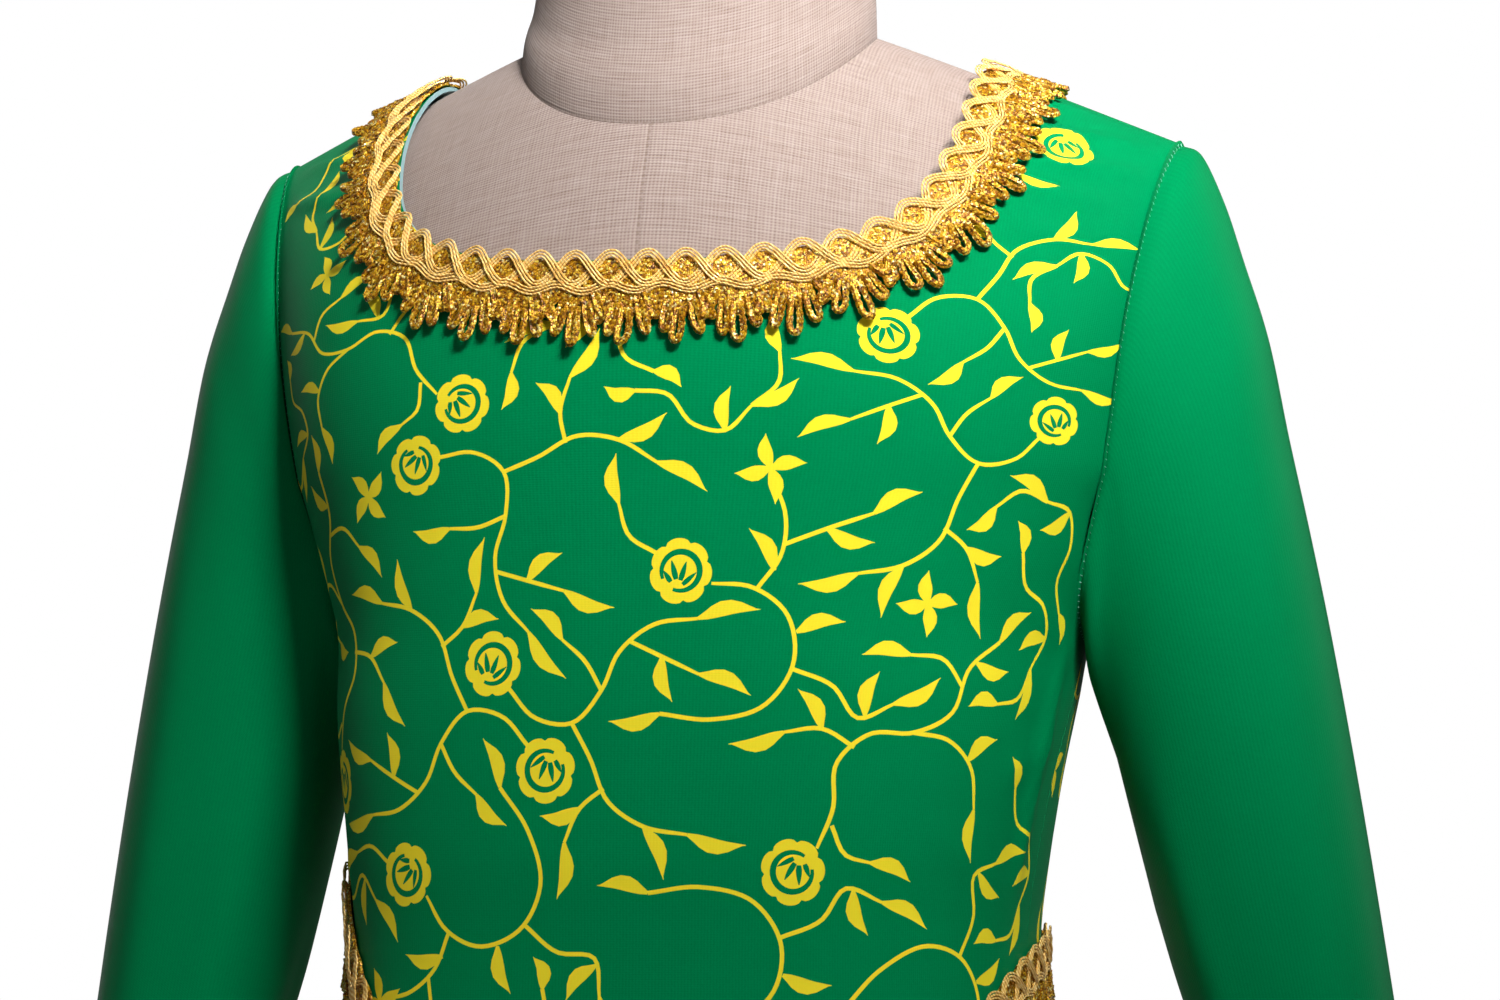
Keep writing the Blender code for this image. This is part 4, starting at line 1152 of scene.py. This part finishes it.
class GirdleLine:
    """The girdle's upper edge round the waist, from the back over the right side to the front and
    on; across leads down."""

    def __init__(self):
        angle = np.linspace(-math.pi, math.pi, 4001)
        places = dress_point(angle, girdle_level(angle))
        run = distances(places)
        self.run, self.angle, self.length = run, angle, run[-1]
        self.slope = unit(np.gradient(places, axis=0))

    def place(self, along, across, height):
        along, across, height = np.broadcast_arrays(along, across, height)
        at = along % self.length
        angle = np.interp(at, self.run, self.angle)
        level = girdle_level(angle)
        slope = between(at, self.run, self.slope)
        level = level - across * np.maximum(np.hypot(slope[..., 0], slope[..., 1]), LEAST_RUN)
        angle = angle + across * slope[..., 2] / WAIST_RADIUS
        out = dress_normal(angle, level)
        return dress_point(angle, level) + out * height[..., None], out


def wave_cords(line, length, phase, reach, middle, swing):
    """Parallel cords laid as one wave: across = middle + reach * sin, each cord moved sideways
    square to the wave, and the height swings so that the waves pass over and under each other."""
    waves = round(line.length / length)
    at = np.linspace(0, 2 * math.pi * waves, waves * WAVE_STEPS, endpoint=False)
    scale = line.length / (2 * math.pi * waves)
    cord = np.arange(CORDS)[:, None]
    shift = (cord - (CORDS - 1) / 2) * CORD_SPACING
    slope = reach * np.cos(at + phase) / scale
    size = np.hypot(1.0, slope)
    along = at * scale - slope / size * shift
    across = middle + reach * np.sin(at + phase) + shift / size
    wander = CORD_WANDER * np.sin(WANDER_RATE * at + cord)
    height = TRIM_LIFT + CORD_LIFT + swing * np.cos(at + phase) + wander
    return tubes(*line.place(along, across, height), CORD_RADIUS, TUBE_SIDES, True)


def braid(name, line, motifs, finishes, node):
    """The braid of the trim: a rough glitter band, two three-cord waves woven through each other
    and a small wave along the band's lower edge."""
    columns = int(line.length / BAND_PITCH)
    along = np.linspace(0, line.length, columns, endpoint=False)[None]
    share = np.linspace(0, 1, BAND_STEPS)[:, None]
    waves = round(line.length / WAVE_LENGTH)
    scallop = 0.5 - 0.5 * np.cos(2 * math.pi * waves * 2 * along / line.length)
    low = BAND_EDGE + UPPER_SCALLOP * (1 - scallop)
    motif = 0.5 + 0.5 * np.cos(2 * math.pi * motifs * along / line.length)
    deep = BAND_WIDTH - LOWER_SCALLOP_START + BAND_SCALLOP * motif**1.3
    across = low + (deep - low) * share
    rough = np.random.default_rng(11).random((BAND_STEPS, columns))
    crown = np.sin(math.pi * share) ** 0.5
    height = TRIM_LIFT + BAND_THICKNESS + BAND_CROWN * crown + BAND_ROUGHNESS * rough
    top = line.place(along, across, height)[0]
    under = line.place(along, across, TRIM_LIFT - BAND_SUNK)[0]
    faces = triangles(np.concatenate(shell_faces(BAND_STEPS, columns, True))[:, ::-1])
    band = (np.concatenate([top.reshape(-1, 3), under.reshape(-1, 3)]), faces, 0)
    points, tris, slots = joined(band, *[(*wave_cords(line, *wave), 1) for wave in WAVES])
    piece = add_piece(name, points, tris, finishes, slots)
    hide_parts(node)
    return piece


def lace_loops(name, line, motifs, finishes, node):
    """Crochet loops along the lower edge, five to a repeat: each is a path that goes out to its
    reach as a sine and back, its width a cosine, leaning away from the middle one."""
    chance = np.random.default_rng(5)
    share = np.linspace(0, 1, LOOP_STEPS)
    out_and_back = np.sin(math.pi * share) ** 0.8
    bulge = 0.42 + 0.58 * out_and_back**1.5
    middle = np.arange(motifs)[:, None] * (line.length / motifs)
    paths, outs = [], []
    for offset, root, reach, width, lean in LOOPS:
        jitter = chance.normal(0, 1, (4, motifs, 1))
        length = (reach - root) * (1 + LENGTH_CHANCE * jitter[0])
        across = root + length * out_and_back
        slope = math.radians(lean) + LEAN_CHANCE * jitter[1]
        width = width * (1 + WIDTH_CHANCE * jitter[2])
        aside = -width / 2 * np.cos(math.pi * share) * bulge
        along = middle + offset + aside + (across - root) * np.tan(slope)
        curl = LOOP_CURL * np.clip(jitter[3] * 0.5 + 0.3, -0.1, 1.3) * out_and_back**3
        height = TRIM_LIFT + LOOP_RADIUS + LOOP_LIFT + curl + MIDDLE_LOOP_LIFT * (offset == 0)
        points, out = line.place(along, across, height)
        paths.append(points)
        outs.append(out)
    swell = 1 + 0.16 * np.cos(share * math.pi * LOOP_STEPS)
    radius = LOOP_RADIUS * swell[None]
    points, tris = tubes(np.concatenate(paths), np.concatenate(outs), radius, TUBE_SIDES)
    piece = add_piece(name, points, tris, finishes)
    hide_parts(node)
    return piece


# Dress form.
FORM_COLUMNS = 240
FORM_ROWS = 130
NECK_COLUMNS_ROUND = 160
NECK_ROWS = 60
FORM_LOW = 0.560


def form_neck_point(turn, share):
    """The neck: ovals through its table, from the lowest to the cap, as share goes from 0 to 1."""
    rows = smooth_rows(share * (len(NECK) - 1), np.arange(len(NECK)), NECK)
    centre_y, centre_z, half_width, half_depth, tilt = np.moveaxis(rows, -1, 0)
    forward = half_depth * np.cos(turn)
    y = centre_y - forward * np.cos(np.radians(tilt))
    z = centre_z - forward * np.sin(np.radians(tilt))
    return np.stack([half_width * np.sin(turn), y, z], -1)


def short_way(angle):
    """An angle from 0 to a whole turn, counted backwards past half a turn."""
    return np.where(angle > math.pi, angle - 2 * math.pi, angle)


NECK_SEAM_WAVES = 8
NECK_SINKS = 0.004
NECK_SEAM_SUNK = 0.0008
NECK_SEARCH_RADIUS = 0.085
NECK_UV_RADIUS = 0.054


def neck_start(turn):
    """For each turn round the neck, the share of its height where it leaves the body's surface:
    where a neck point is level with the nearest body point, smoothed to a few waves."""
    level = np.linspace(0.90, RIDGE_LEVEL, 150)
    angle = np.linspace(0, 2 * math.pi, 721)
    body = form_point(angle[None], level[:, None]).reshape(-1, 3)
    body = body[np.hypot(body[:, 0], body[:, 1]) < NECK_SEARCH_RADIUS]
    share = np.linspace(0, 0.8, 33)
    points = form_neck_point(turn[:, None], share[None])
    found = np.zeros(len(turn))
    for k, column in enumerate(points):
        near = ((body[None, :, :2] - column[:, None, :2]) ** 2).sum(-1).argmin(axis=1)
        found[k] = np.interp(0.0, column[:, 2] - body[near, 2], share)
    waves = np.fft.rfft(found)
    waves[NECK_SEAM_WAVES:] = 0
    return np.fft.irfft(waves, len(turn)) - NECK_SINKS


def closed_rings(rings, end):
    """Points and triangles of rings with a fan at one end: 0 for the first ring, -1 for the
    last."""
    rows, columns = rings.shape[:2]
    a = np.arange(columns) + (rows - 1) * columns * -end
    fan = np.stack([a, np.roll(a, -1), np.full(columns, rows * columns)], -1)
    fan = fan if end else fan[:, [1, 0, 2]]
    points = np.concatenate([rings.reshape(-1, 3), rings[end].mean(axis=0)[None]])
    return points, np.concatenate([triangles(grid_faces(rows, columns, True)), fan])


def linen_form(finishes):
    """The linen body with its neck: fine rings on the form's own surface, and neck rings that
    start on the seam where the two meet."""
    angle = np.linspace(0, 2 * math.pi, FORM_COLUMNS, endpoint=False)
    level = np.linspace(FORM_LOW, RIDGE_LEVEL, FORM_ROWS)[:, None]
    body = closed_rings(form_point(*np.broadcast_arrays(angle, level)), 0)
    body_uv = np.stack(np.broadcast_arrays(short_way(angle) * ANGLE_TO_LENGTH, level), -1)
    turn = np.linspace(0, 2 * math.pi, NECK_COLUMNS_ROUND, endpoint=False)
    start = neck_start(turn)
    climb = np.linspace(0, 1, NECK_ROWS)[:, None] ** 1.2
    share = start + (1 - start) * climb
    rings = form_neck_point(np.broadcast_to(turn, share.shape), share)
    neck = closed_rings(rings, -1)
    rise = np.linalg.norm(np.diff(rings, axis=0), axis=-1)
    height = np.concatenate([np.zeros((1, NECK_COLUMNS_ROUND)), np.cumsum(rise, axis=0)])
    height = height - NECK_SEAM_SUNK
    neck_uv = np.stack(np.broadcast_arrays(short_way(turn) * NECK_UV_RADIUS, height), -1)
    ends = ([[0.0, 0.5]], [[0.0, height.max()]])
    uv = np.concatenate([body_uv.reshape(-1, 2), ends[0], neck_uv.reshape(-1, 2), ends[1]])
    points, tris, slots = joined((*body, 0), (*neck, 1))
    piece = add_piece("linen_form", points, tris, finishes, slots, uv)
    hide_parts("form_torso")


# Finishes.
class Value:
    """A number flowing out of a shader node. Arithmetic on it adds a Math node for each step."""

    def __init__(self, finish, socket):
        self.finish = finish
        self.socket = socket

    def __add__(self, other):
        return self.finish.math("ADD", self, other)

    def __mul__(self, other):
        return self.finish.math("MULTIPLY", self, other)

    def __sub__(self, other):
        return self.finish.math("SUBTRACT", self, other)

    def __rsub__(self, other):
        return self.finish.math("SUBTRACT", other, self)


class Finish:
    """A material built from shader nodes. fixed gives the shader's plain inputs, with underscores
    for the spaces in their names."""

    def __init__(self, name, **fixed):
        self.material = bpy.data.materials.new(name)
        self.material.use_nodes = True
        self.tree = self.material.node_tree
        self.shader = self.tree.nodes["Principled BSDF"]
        for socket, value in fixed.items():
            self.shader.inputs[socket.replace("_", " ")].default_value = value
        coordinates = self.tree.nodes.new("ShaderNodeTexCoord").outputs
        self.cloth, self.place = coordinates["UV"], coordinates["Object"]

    def put(self, socket, value):
        """Gives an input a number, a colour or a link."""
        value = value.socket if isinstance(value, Value) else value
        if isinstance(value, bpy.types.NodeSocket):
            self.tree.links.new(value, socket)
        else:
            socket.default_value = value

    def node(self, kind, values=None, output=0, **settings):
        """Adds a node: its settings first, then its inputs."""
        node = self.tree.nodes.new(kind)
        for key, setting in settings.items():
            setattr(node, key, setting)
        for key, value in (values or {}).items():
            self.put(node.inputs[key], value)
        return node.outputs[output]

    def math(self, operation, *values):
        found = self.node("ShaderNodeMath", dict(enumerate(values)), operation=operation)
        return Value(self, found)

    def ripple(self, value, pitch):
        """A wave from 0 to 1 and back in each pitch."""
        return self.math("SINE", value * (2 * math.pi / pitch)) * 0.5 + 0.5

    def steps(self, value, low, high):
        """0 below low, 1 above high and smooth in between."""
        values = {"Value": value, "From Min": low, "From Max": high}
        kind = "SMOOTHSTEP"
        return Value(self, self.node("ShaderNodeMapRange", values, interpolation_type=kind))

    def parts(self, vector):
        node = self.tree.nodes.new("ShaderNodeSeparateXYZ")
        self.tree.links.new(vector, node.inputs[0])
        return [Value(self, socket) for socket in node.outputs]

    def noise(self, vector, scale, detail=2.0, roughness=0.5):
        """Soft noise. Three numbers for a scale are one for each direction."""
        if isinstance(scale, tuple):
            vector = self.node("ShaderNodeMapping", {"Vector": vector, "Scale": scale})
            scale = 1.0
        values = {"Vector": vector, "Scale": scale, "Detail": detail, "Roughness": roughness}
        return Value(self, self.node("ShaderNodeTexNoise", values))

    def ramp(self, value, *stops):
        """Colours at places along a value, blended in between."""
        node = self.tree.nodes.new("ShaderNodeValToRGB")
        ramp = node.color_ramp
        while len(ramp.elements) < len(stops):
            ramp.elements.new(0.5)
        for element, (place, colour) in zip(ramp.elements, stops):
            element.position = place
            element.color = colour
        self.put(node.inputs["Fac"], value)
        return node.outputs["Color"]

    def mix(self, share, first, second, blend="MIX"):
        values = {0: share, 6: first, 7: second}
        return self.node("ShaderNodeMix", values, 2, data_type="RGBA", blend_type=blend)

    def feed(self, socket, value):
        self.put(self.shader.inputs[socket], value)

    def relief(self, height, distance):
        values = {"Height": height, "Distance": distance, "Strength": 1.0}
        self.feed("Normal", self.node("ShaderNodeBump", values))


def linear(red, green, blue):
    """A colour as it looks on screen, from 0 to 255, as the light values a shader takes."""
    parts = [part / 255 for part in (red, green, blue)]
    return (*[p / 12.92 if p <= 0.04045 else ((p + 0.055) / 1.055) ** 2.4 for p in parts], 1.0)


WALE_PITCH = 0.00095
COURSE_PITCH = 0.0007
TWIST_PITCH = 0.0012


def knit(name, dark, light, grain):
    """Fine stretch knit: narrow wales and courses from the cloth's own flat lengths, a soft
    mottle and a grain, over a shader with a satin sheen."""
    finish = Finish(
        name,
        Roughness=0.56,
        Sheen_Weight=0.03,
        Sheen_Roughness=0.45,
        Sheen_Tint=light,
        Specular_IOR_Level=0.22,
        Specular_Tint=light,
    )
    u, v, _ = finish.parts(finish.cloth)
    wales = finish.ripple(u, WALE_PITCH)
    courses = finish.ripple(v, COURSE_PITCH)
    fine = finish.noise(finish.place, 1500.0)
    mottle = finish.noise(finish.place, 60.0, 3.0)
    tone = wales * (0.30 * grain) + courses * (0.14 * grain)
    tone = tone + fine * (0.9 * grain) + mottle * (0.35 * grain) + (0.5 - 0.85 * grain)
    finish.feed("Base Color", finish.ramp(tone, (0.0, dark), (1.0, light)))
    finish.relief(wales * 0.5 + courses * 0.3 + fine * 0.7, 0.00005)
    return finish.material


def glitter(name):
    """Crocheted metallic yarn: small cells of gold, amber and near white, each at its own tilt,
    with painted shade darkening each cell towards its edge.
    """
    finish = Finish(name, Metallic=0.4, Roughness=0.32)
    cells = {"Vector": finish.place, "Scale": 1500.0, "Randomness": 1.0}
    gap = Value(finish, finish.node("ShaderNodeTexVoronoi", cells))
    red, green, _ = finish.parts(finish.node("ShaderNodeTexVoronoi", cells, 1))
    colour = finish.ramp(
        red,
        (0.0, linear(92, 50, 4)),
        (0.20, linear(150, 92, 6)),
        (0.47, linear(198, 138, 12)),
        (0.74, linear(228, 178, 28)),
        (0.91, linear(250, 220, 88)),
        (0.98, linear(255, 246, 180)),
    )
    # Painted shade: each cell is darkened towards its edge, where its facet dips.
    painted_cell_edge_shade = finish.ramp(gap, (0.30, (1, 1, 1, 1)), (0.80, (0.30, 0.20, 0.08, 1)))
    finish.feed("Base Color", finish.mix(0.7, colour, painted_cell_edge_shade, "MULTIPLY"))
    finish.feed("Roughness", green * 0.30 + 0.18)
    finish.relief(red * 0.8 - gap * 0.8, 0.0003)
    return finish.material


def braid_cord(name):
    """Bright spun cord: pale gold with a fine twist, painted highlights on the twist's crests
    and painted shade in its hollows.
    """
    finish = Finish(name, Metallic=0.1, Roughness=0.28)
    x, y, z = finish.parts(finish.place)
    twist_with_painted_light = finish.ripple(x + z * 0.7 + y * 0.5, TWIST_PITCH)
    tone = twist_with_painted_light * 0.40 + finish.noise(finish.place, 700.0) * 0.8 - 0.08
    # From dark in the hollows of the twist to near white on its crests: painted shade and painted
    # highlights.
    colour = finish.ramp(
        tone,
        (0.0, linear(150, 96, 28)),
        (0.35, linear(224, 170, 80)),
        (0.7, linear(252, 218, 138)),
        (1.0, linear(255, 248, 212)),
    )
    finish.feed("Base Color", colour)
    finish.relief(tone, 0.00015)
    return finish.material


YARN_PITCH = 0.00098
YARN_WOBBLE = 0.0012
STITCH_PITCH = 0.0026


def linen(name, seam_side):
    """Plain-woven linen: two sets of yarns, each yarn with its own tone and thick places, painted
    shade in the small holes between them, and one sewn seam with a thin line of painted shade
    along its groove, darker again at each stitch. seam_side is 0 where it stands on the middle
    line of the body and 1 where it runs round the foot of the neck."""
    finish = Finish(name, Roughness=0.88, Sheen_Weight=0.08, Specular_IOR_Level=0.15)
    cloth = finish.cloth
    u, v, _ = finish.parts(cloth)
    wobble = (finish.noise(cloth, (45, 45, 1)) - 0.5) * YARN_WOBBLE
    warp = finish.ripple(u + wobble, YARN_PITCH)
    weft = finish.ripple(v + wobble, YARN_PITCH)
    # Painted shade: the small holes between the yarns are darkened.
    hole_shade = (1 - warp) * (1 - weft)
    weft_tone = finish.noise(cloth, (70, 1300, 1), 2.0, 0.6)
    warp_tone = finish.noise(cloth, (1300, 60, 1), 2.0, 0.6)
    slub = finish.steps(finish.noise(cloth, (110, 620, 1)), 0.68, 0.80)
    tone = weft_tone * 0.50 + warp_tone * 0.30 + 0.10
    tone = tone + warp * 0.06 + weft * 0.09 - hole_shade * 0.20
    colour = finish.ramp(
        tone,
        (0.16, linear(102, 83, 75)),
        (0.42, linear(139, 121, 113)),
        (0.58, linear(151, 135, 127)),
        (0.85, linear(168, 154, 148)),
    )
    colour = finish.mix(slub * 0.45, colour, linear(138, 108, 86))
    away, run = ((u, v), (v, u))[seam_side]
    away = finish.math("ABSOLUTE", away)
    seam = 1 - finish.steps(away, 0.0002, 0.0006)
    stitch = finish.steps(finish.ripple(run, STITCH_PITCH), 0.4, 0.7)
    # Painted shade: a thin dark line along the seam's groove, darker again at each stitch.
    colour = finish.mix(seam * (stitch * 0.25 + 0.16), colour, linear(92, 72, 60))
    finish.feed("Base Color", colour)
    dip = 1 - finish.steps(away, 0.0002, 0.0014)
    finish.relief(warp * 0.4 + weft * 0.4 + weft_tone * 0.8 + slub * 0.6 - dip * 1.2, 0.00010)
    return finish.material


def beech(name):
    """Turned beech: long rings of grain seen on end, short flecks and a thin varnish."""
    finish = Finish(name, Roughness=0.35, Coat_Weight=0.25)
    grain = finish.noise(finish.place, (18, 260, 60), 5.0, 0.6)
    flecks = finish.steps(finish.noise(finish.place, (240, 1600, 900)), 0.60, 0.72)
    colour = finish.ramp(grain, (0.3, linear(190, 146, 98)), (0.7, linear(216, 178, 130)))
    finish.feed("Base Color", finish.mix(flecks * 0.4, colour, linear(150, 104, 62)))
    finish.relief(grain, 0.00008)
    return finish.material


def brushed_steel(name):
    """Drawn steel tube: fine lines round the tube in a satin metal."""
    finish = Finish(name, Metallic=1.0, Roughness=0.28)
    lines = finish.noise(finish.place, (30, 30, 2600), 3.0)
    colour = finish.ramp(lines, (0.3, linear(168, 170, 172)), (0.7, linear(206, 208, 210)))
    finish.feed("Base Color", colour)
    finish.feed("Roughness", lines * 0.18 + 0.2)
    return finish.material


def painted_steel(name):
    """White powder-coated plate with a faint orange peel."""
    finish = Finish(name, Roughness=0.38)
    cloud = finish.noise(finish.place, 14.0, 3.0)
    colour = finish.ramp(cloud, (0.3, linear(224, 223, 219)), (0.7, linear(240, 239, 236)))
    finish.feed("Base Color", colour)
    finish.relief(finish.noise(finish.place, 900.0), 0.00006)
    return finish.material


FLOOR_GLOW = 0.72


def pale_floor(name):
    """A white studio floor that is seen lighter than it is lit."""
    finish = Finish(name, Roughness=0.7, Emission_Color=(1, 1, 1, 1))
    seen = Value(finish, finish.node("ShaderNodeLightPath"))
    finish.feed("Emission Strength", seen * FLOOR_GLOW)
    cloud = finish.noise(finish.place, 3.0)
    colour = finish.ramp(cloud, (0.2, (0.80, 0.80, 0.80, 1)), (0.8, (0.84, 0.84, 0.84, 1)))
    finish.feed("Base Color", colour)
    return finish.material


GREEN_DARK = linear(0, 86, 46)
GREEN_LIGHT = linear(0, 147, 87)
printed_green = knit("printed knit ground", GREEN_DARK, GREEN_LIGHT, 0.24)
YELLOW_DARK = linear(226, 204, 28)
YELLOW_LIGHT = linear(252, 234, 58)
printed_yellow = knit("printed knit yellow", YELLOW_DARK, YELLOW_LIGHT, 0.14)
WRONG_DARK = linear(104, 130, 132)
WRONG_LIGHT = linear(132, 156, 158)
wrong_side = knit("wrong side of the print", WRONG_DARK, WRONG_LIGHT, 0.16)
plain_green = knit("plain green knit", linear(0, 82, 43), linear(0, 142, 82), 0.22)
thread = knit("sewing thread", linear(70, 160, 128), linear(160, 216, 196), 0.3)
gold_glitter = glitter("gold glitter yarn")
gold_cord = braid_cord("pale gold cord")
linen_body = linen("linen cover", 0)
linen_neck = linen("linen neck cover", 1)

# Cloth.
print_finishes = (printed_green, printed_yellow, wrong_side)
bodice_front = printed_panel("bodice_front_cloth", True, print_finishes)
bodice_back = printed_panel("bodice_back_cloth", False, print_finishes)
sleeve_left = sleeve("sleeve_left_cloth", 1, (plain_green,) * 3)
sleeve_right = sleeve("sleeve_right_cloth", -1, (plain_green,) * 3)
skirt_front = skirt("skirt_front_cloth", True, (plain_green,) * 3)
skirt_back = skirt("skirt_back_cloth", False, (plain_green,) * 3)
armhole_stitches("armhole_stitches", (thread,))
for piece in (bodice_front, bodice_back, sleeve_left, sleeve_right, skirt_front, skirt_back):
    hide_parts(piece.name.removesuffix("_cloth"))

neck_line = NeckLine()
girdle_line = GirdleLine()
golds = (gold_glitter, gold_cord)
neck_braid = braid("neck_trim_braid", neck_line, NECK_MOTIFS, golds, "neck_trim")
neck_loops = lace_loops("neck_trim_loops", neck_line, NECK_MOTIFS, golds[:1], "neck_trim")
girdle_braid = braid("girdle_trim_braid", girdle_line, GIRDLE_MOTIFS, golds, "girdle_trim")
girdle_loops = lace_loops("girdle_trim_loops", girdle_line, GIRDLE_MOTIFS, golds[:1], "girdle_trim")

linen_form((linen_body, linen_neck))

for node, finish in (
    ("neck_cap", beech("turned beech")),
    ("form_pole", brushed_steel("brushed steel tube")),
    ("form_base", painted_steel("white painted steel")),
):
    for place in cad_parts[node].material_slots:
        place.material = finish


# Stage.
def point_at(thing, place, aim):
    thing.location = place
    thing.rotation_euler = (Vector(aim) - Vector(place)).to_track_quat("-Z", "Y").to_euler()


def area_light(name, place, aim, size, power, spread_degrees=180):
    light = bpy.data.lights.new(name, "AREA")
    light.shape = "RECTANGLE"
    light.size, light.size_y = size
    light.energy = power
    light.spread = math.radians(spread_degrees)
    point_at(add_object(name, light), place, aim)


FLOOR_HALF = 6
floor_mesh = bpy.data.meshes.new("floor")
corners = ((-1, -1), (1, -1), (1, 1), (-1, 1))
floor_corners = [(x * FLOOR_HALF, y * FLOOR_HALF, 0) for x, y in corners]
floor_mesh.from_pydata(floor_corners, [], [(0, 1, 2, 3)])
floor_mesh.materials.append(pale_floor("pale floor"))
floor = add_object("floor", floor_mesh)

AIM = (0.0, 0.0, 0.80)
KEY_AIM = (0.17, 0.0, 1.24)
SKIRT_AIM = (0.0, 0.0, 0.27)
area_light("key light, high on the right", (0.72, -0.80, 1.80), KEY_AIM, (0.6, 0.6), 5.4, 35)
area_light("front fill", (-0.6, -3.0, 1.5), AIM, (2.4, 1.6), 3.5)
area_light("skirt fill", (1.3, -2.3, 0.6), SKIRT_AIM, (0.5, 0.5), 0.6, 18)
area_light("rim light, behind on the right", (1.7, 1.5, 1.4), AIM, (0.6, 1.8), 5)
area_light("rim light, behind on the left", (-1.7, 1.5, 1.2), AIM, (0.6, 1.8), 4)

# The world is seen white, and lights the scene only faintly.
SKY_LIGHT = 0.12
world = bpy.data.worlds.new("white studio")
bpy.context.scene.world = world
world.use_nodes = True
sky = world.node_tree
background = sky.nodes["Background"]
background.inputs["Color"].default_value = (1, 1, 1, 1)
rays = sky.nodes.new("ShaderNodeLightPath")
share = sky.nodes.new("ShaderNodeMapRange")
share.inputs["To Min"].default_value = SKY_LIGHT
share.inputs["To Max"].default_value = 1.0
sky.links.new(rays.outputs["Is Camera Ray"], share.inputs["Value"])
sky.links.new(share.outputs[0], background.inputs["Strength"])

CAMERA_PLACE = (0.7133, -2.2888, 0.7199)
CAMERA_TURN = math.radians(17.0)
PICTURE_SHIFT = 0.013
PICTURE_LEVEL = 0.833
camera_data = bpy.data.cameras.new("camera")
camera_data.lens = 185.8
camera_data.sensor_width = 36.0
camera = add_object("camera", camera_data)
shift = (PICTURE_SHIFT * math.cos(CAMERA_TURN), PICTURE_SHIFT * math.sin(CAMERA_TURN))
point_at(camera, CAMERA_PLACE, (*shift, PICTURE_LEVEL))
bpy.context.scene.camera = camera
bpy.context.scene.view_settings.view_transform = "Standard"
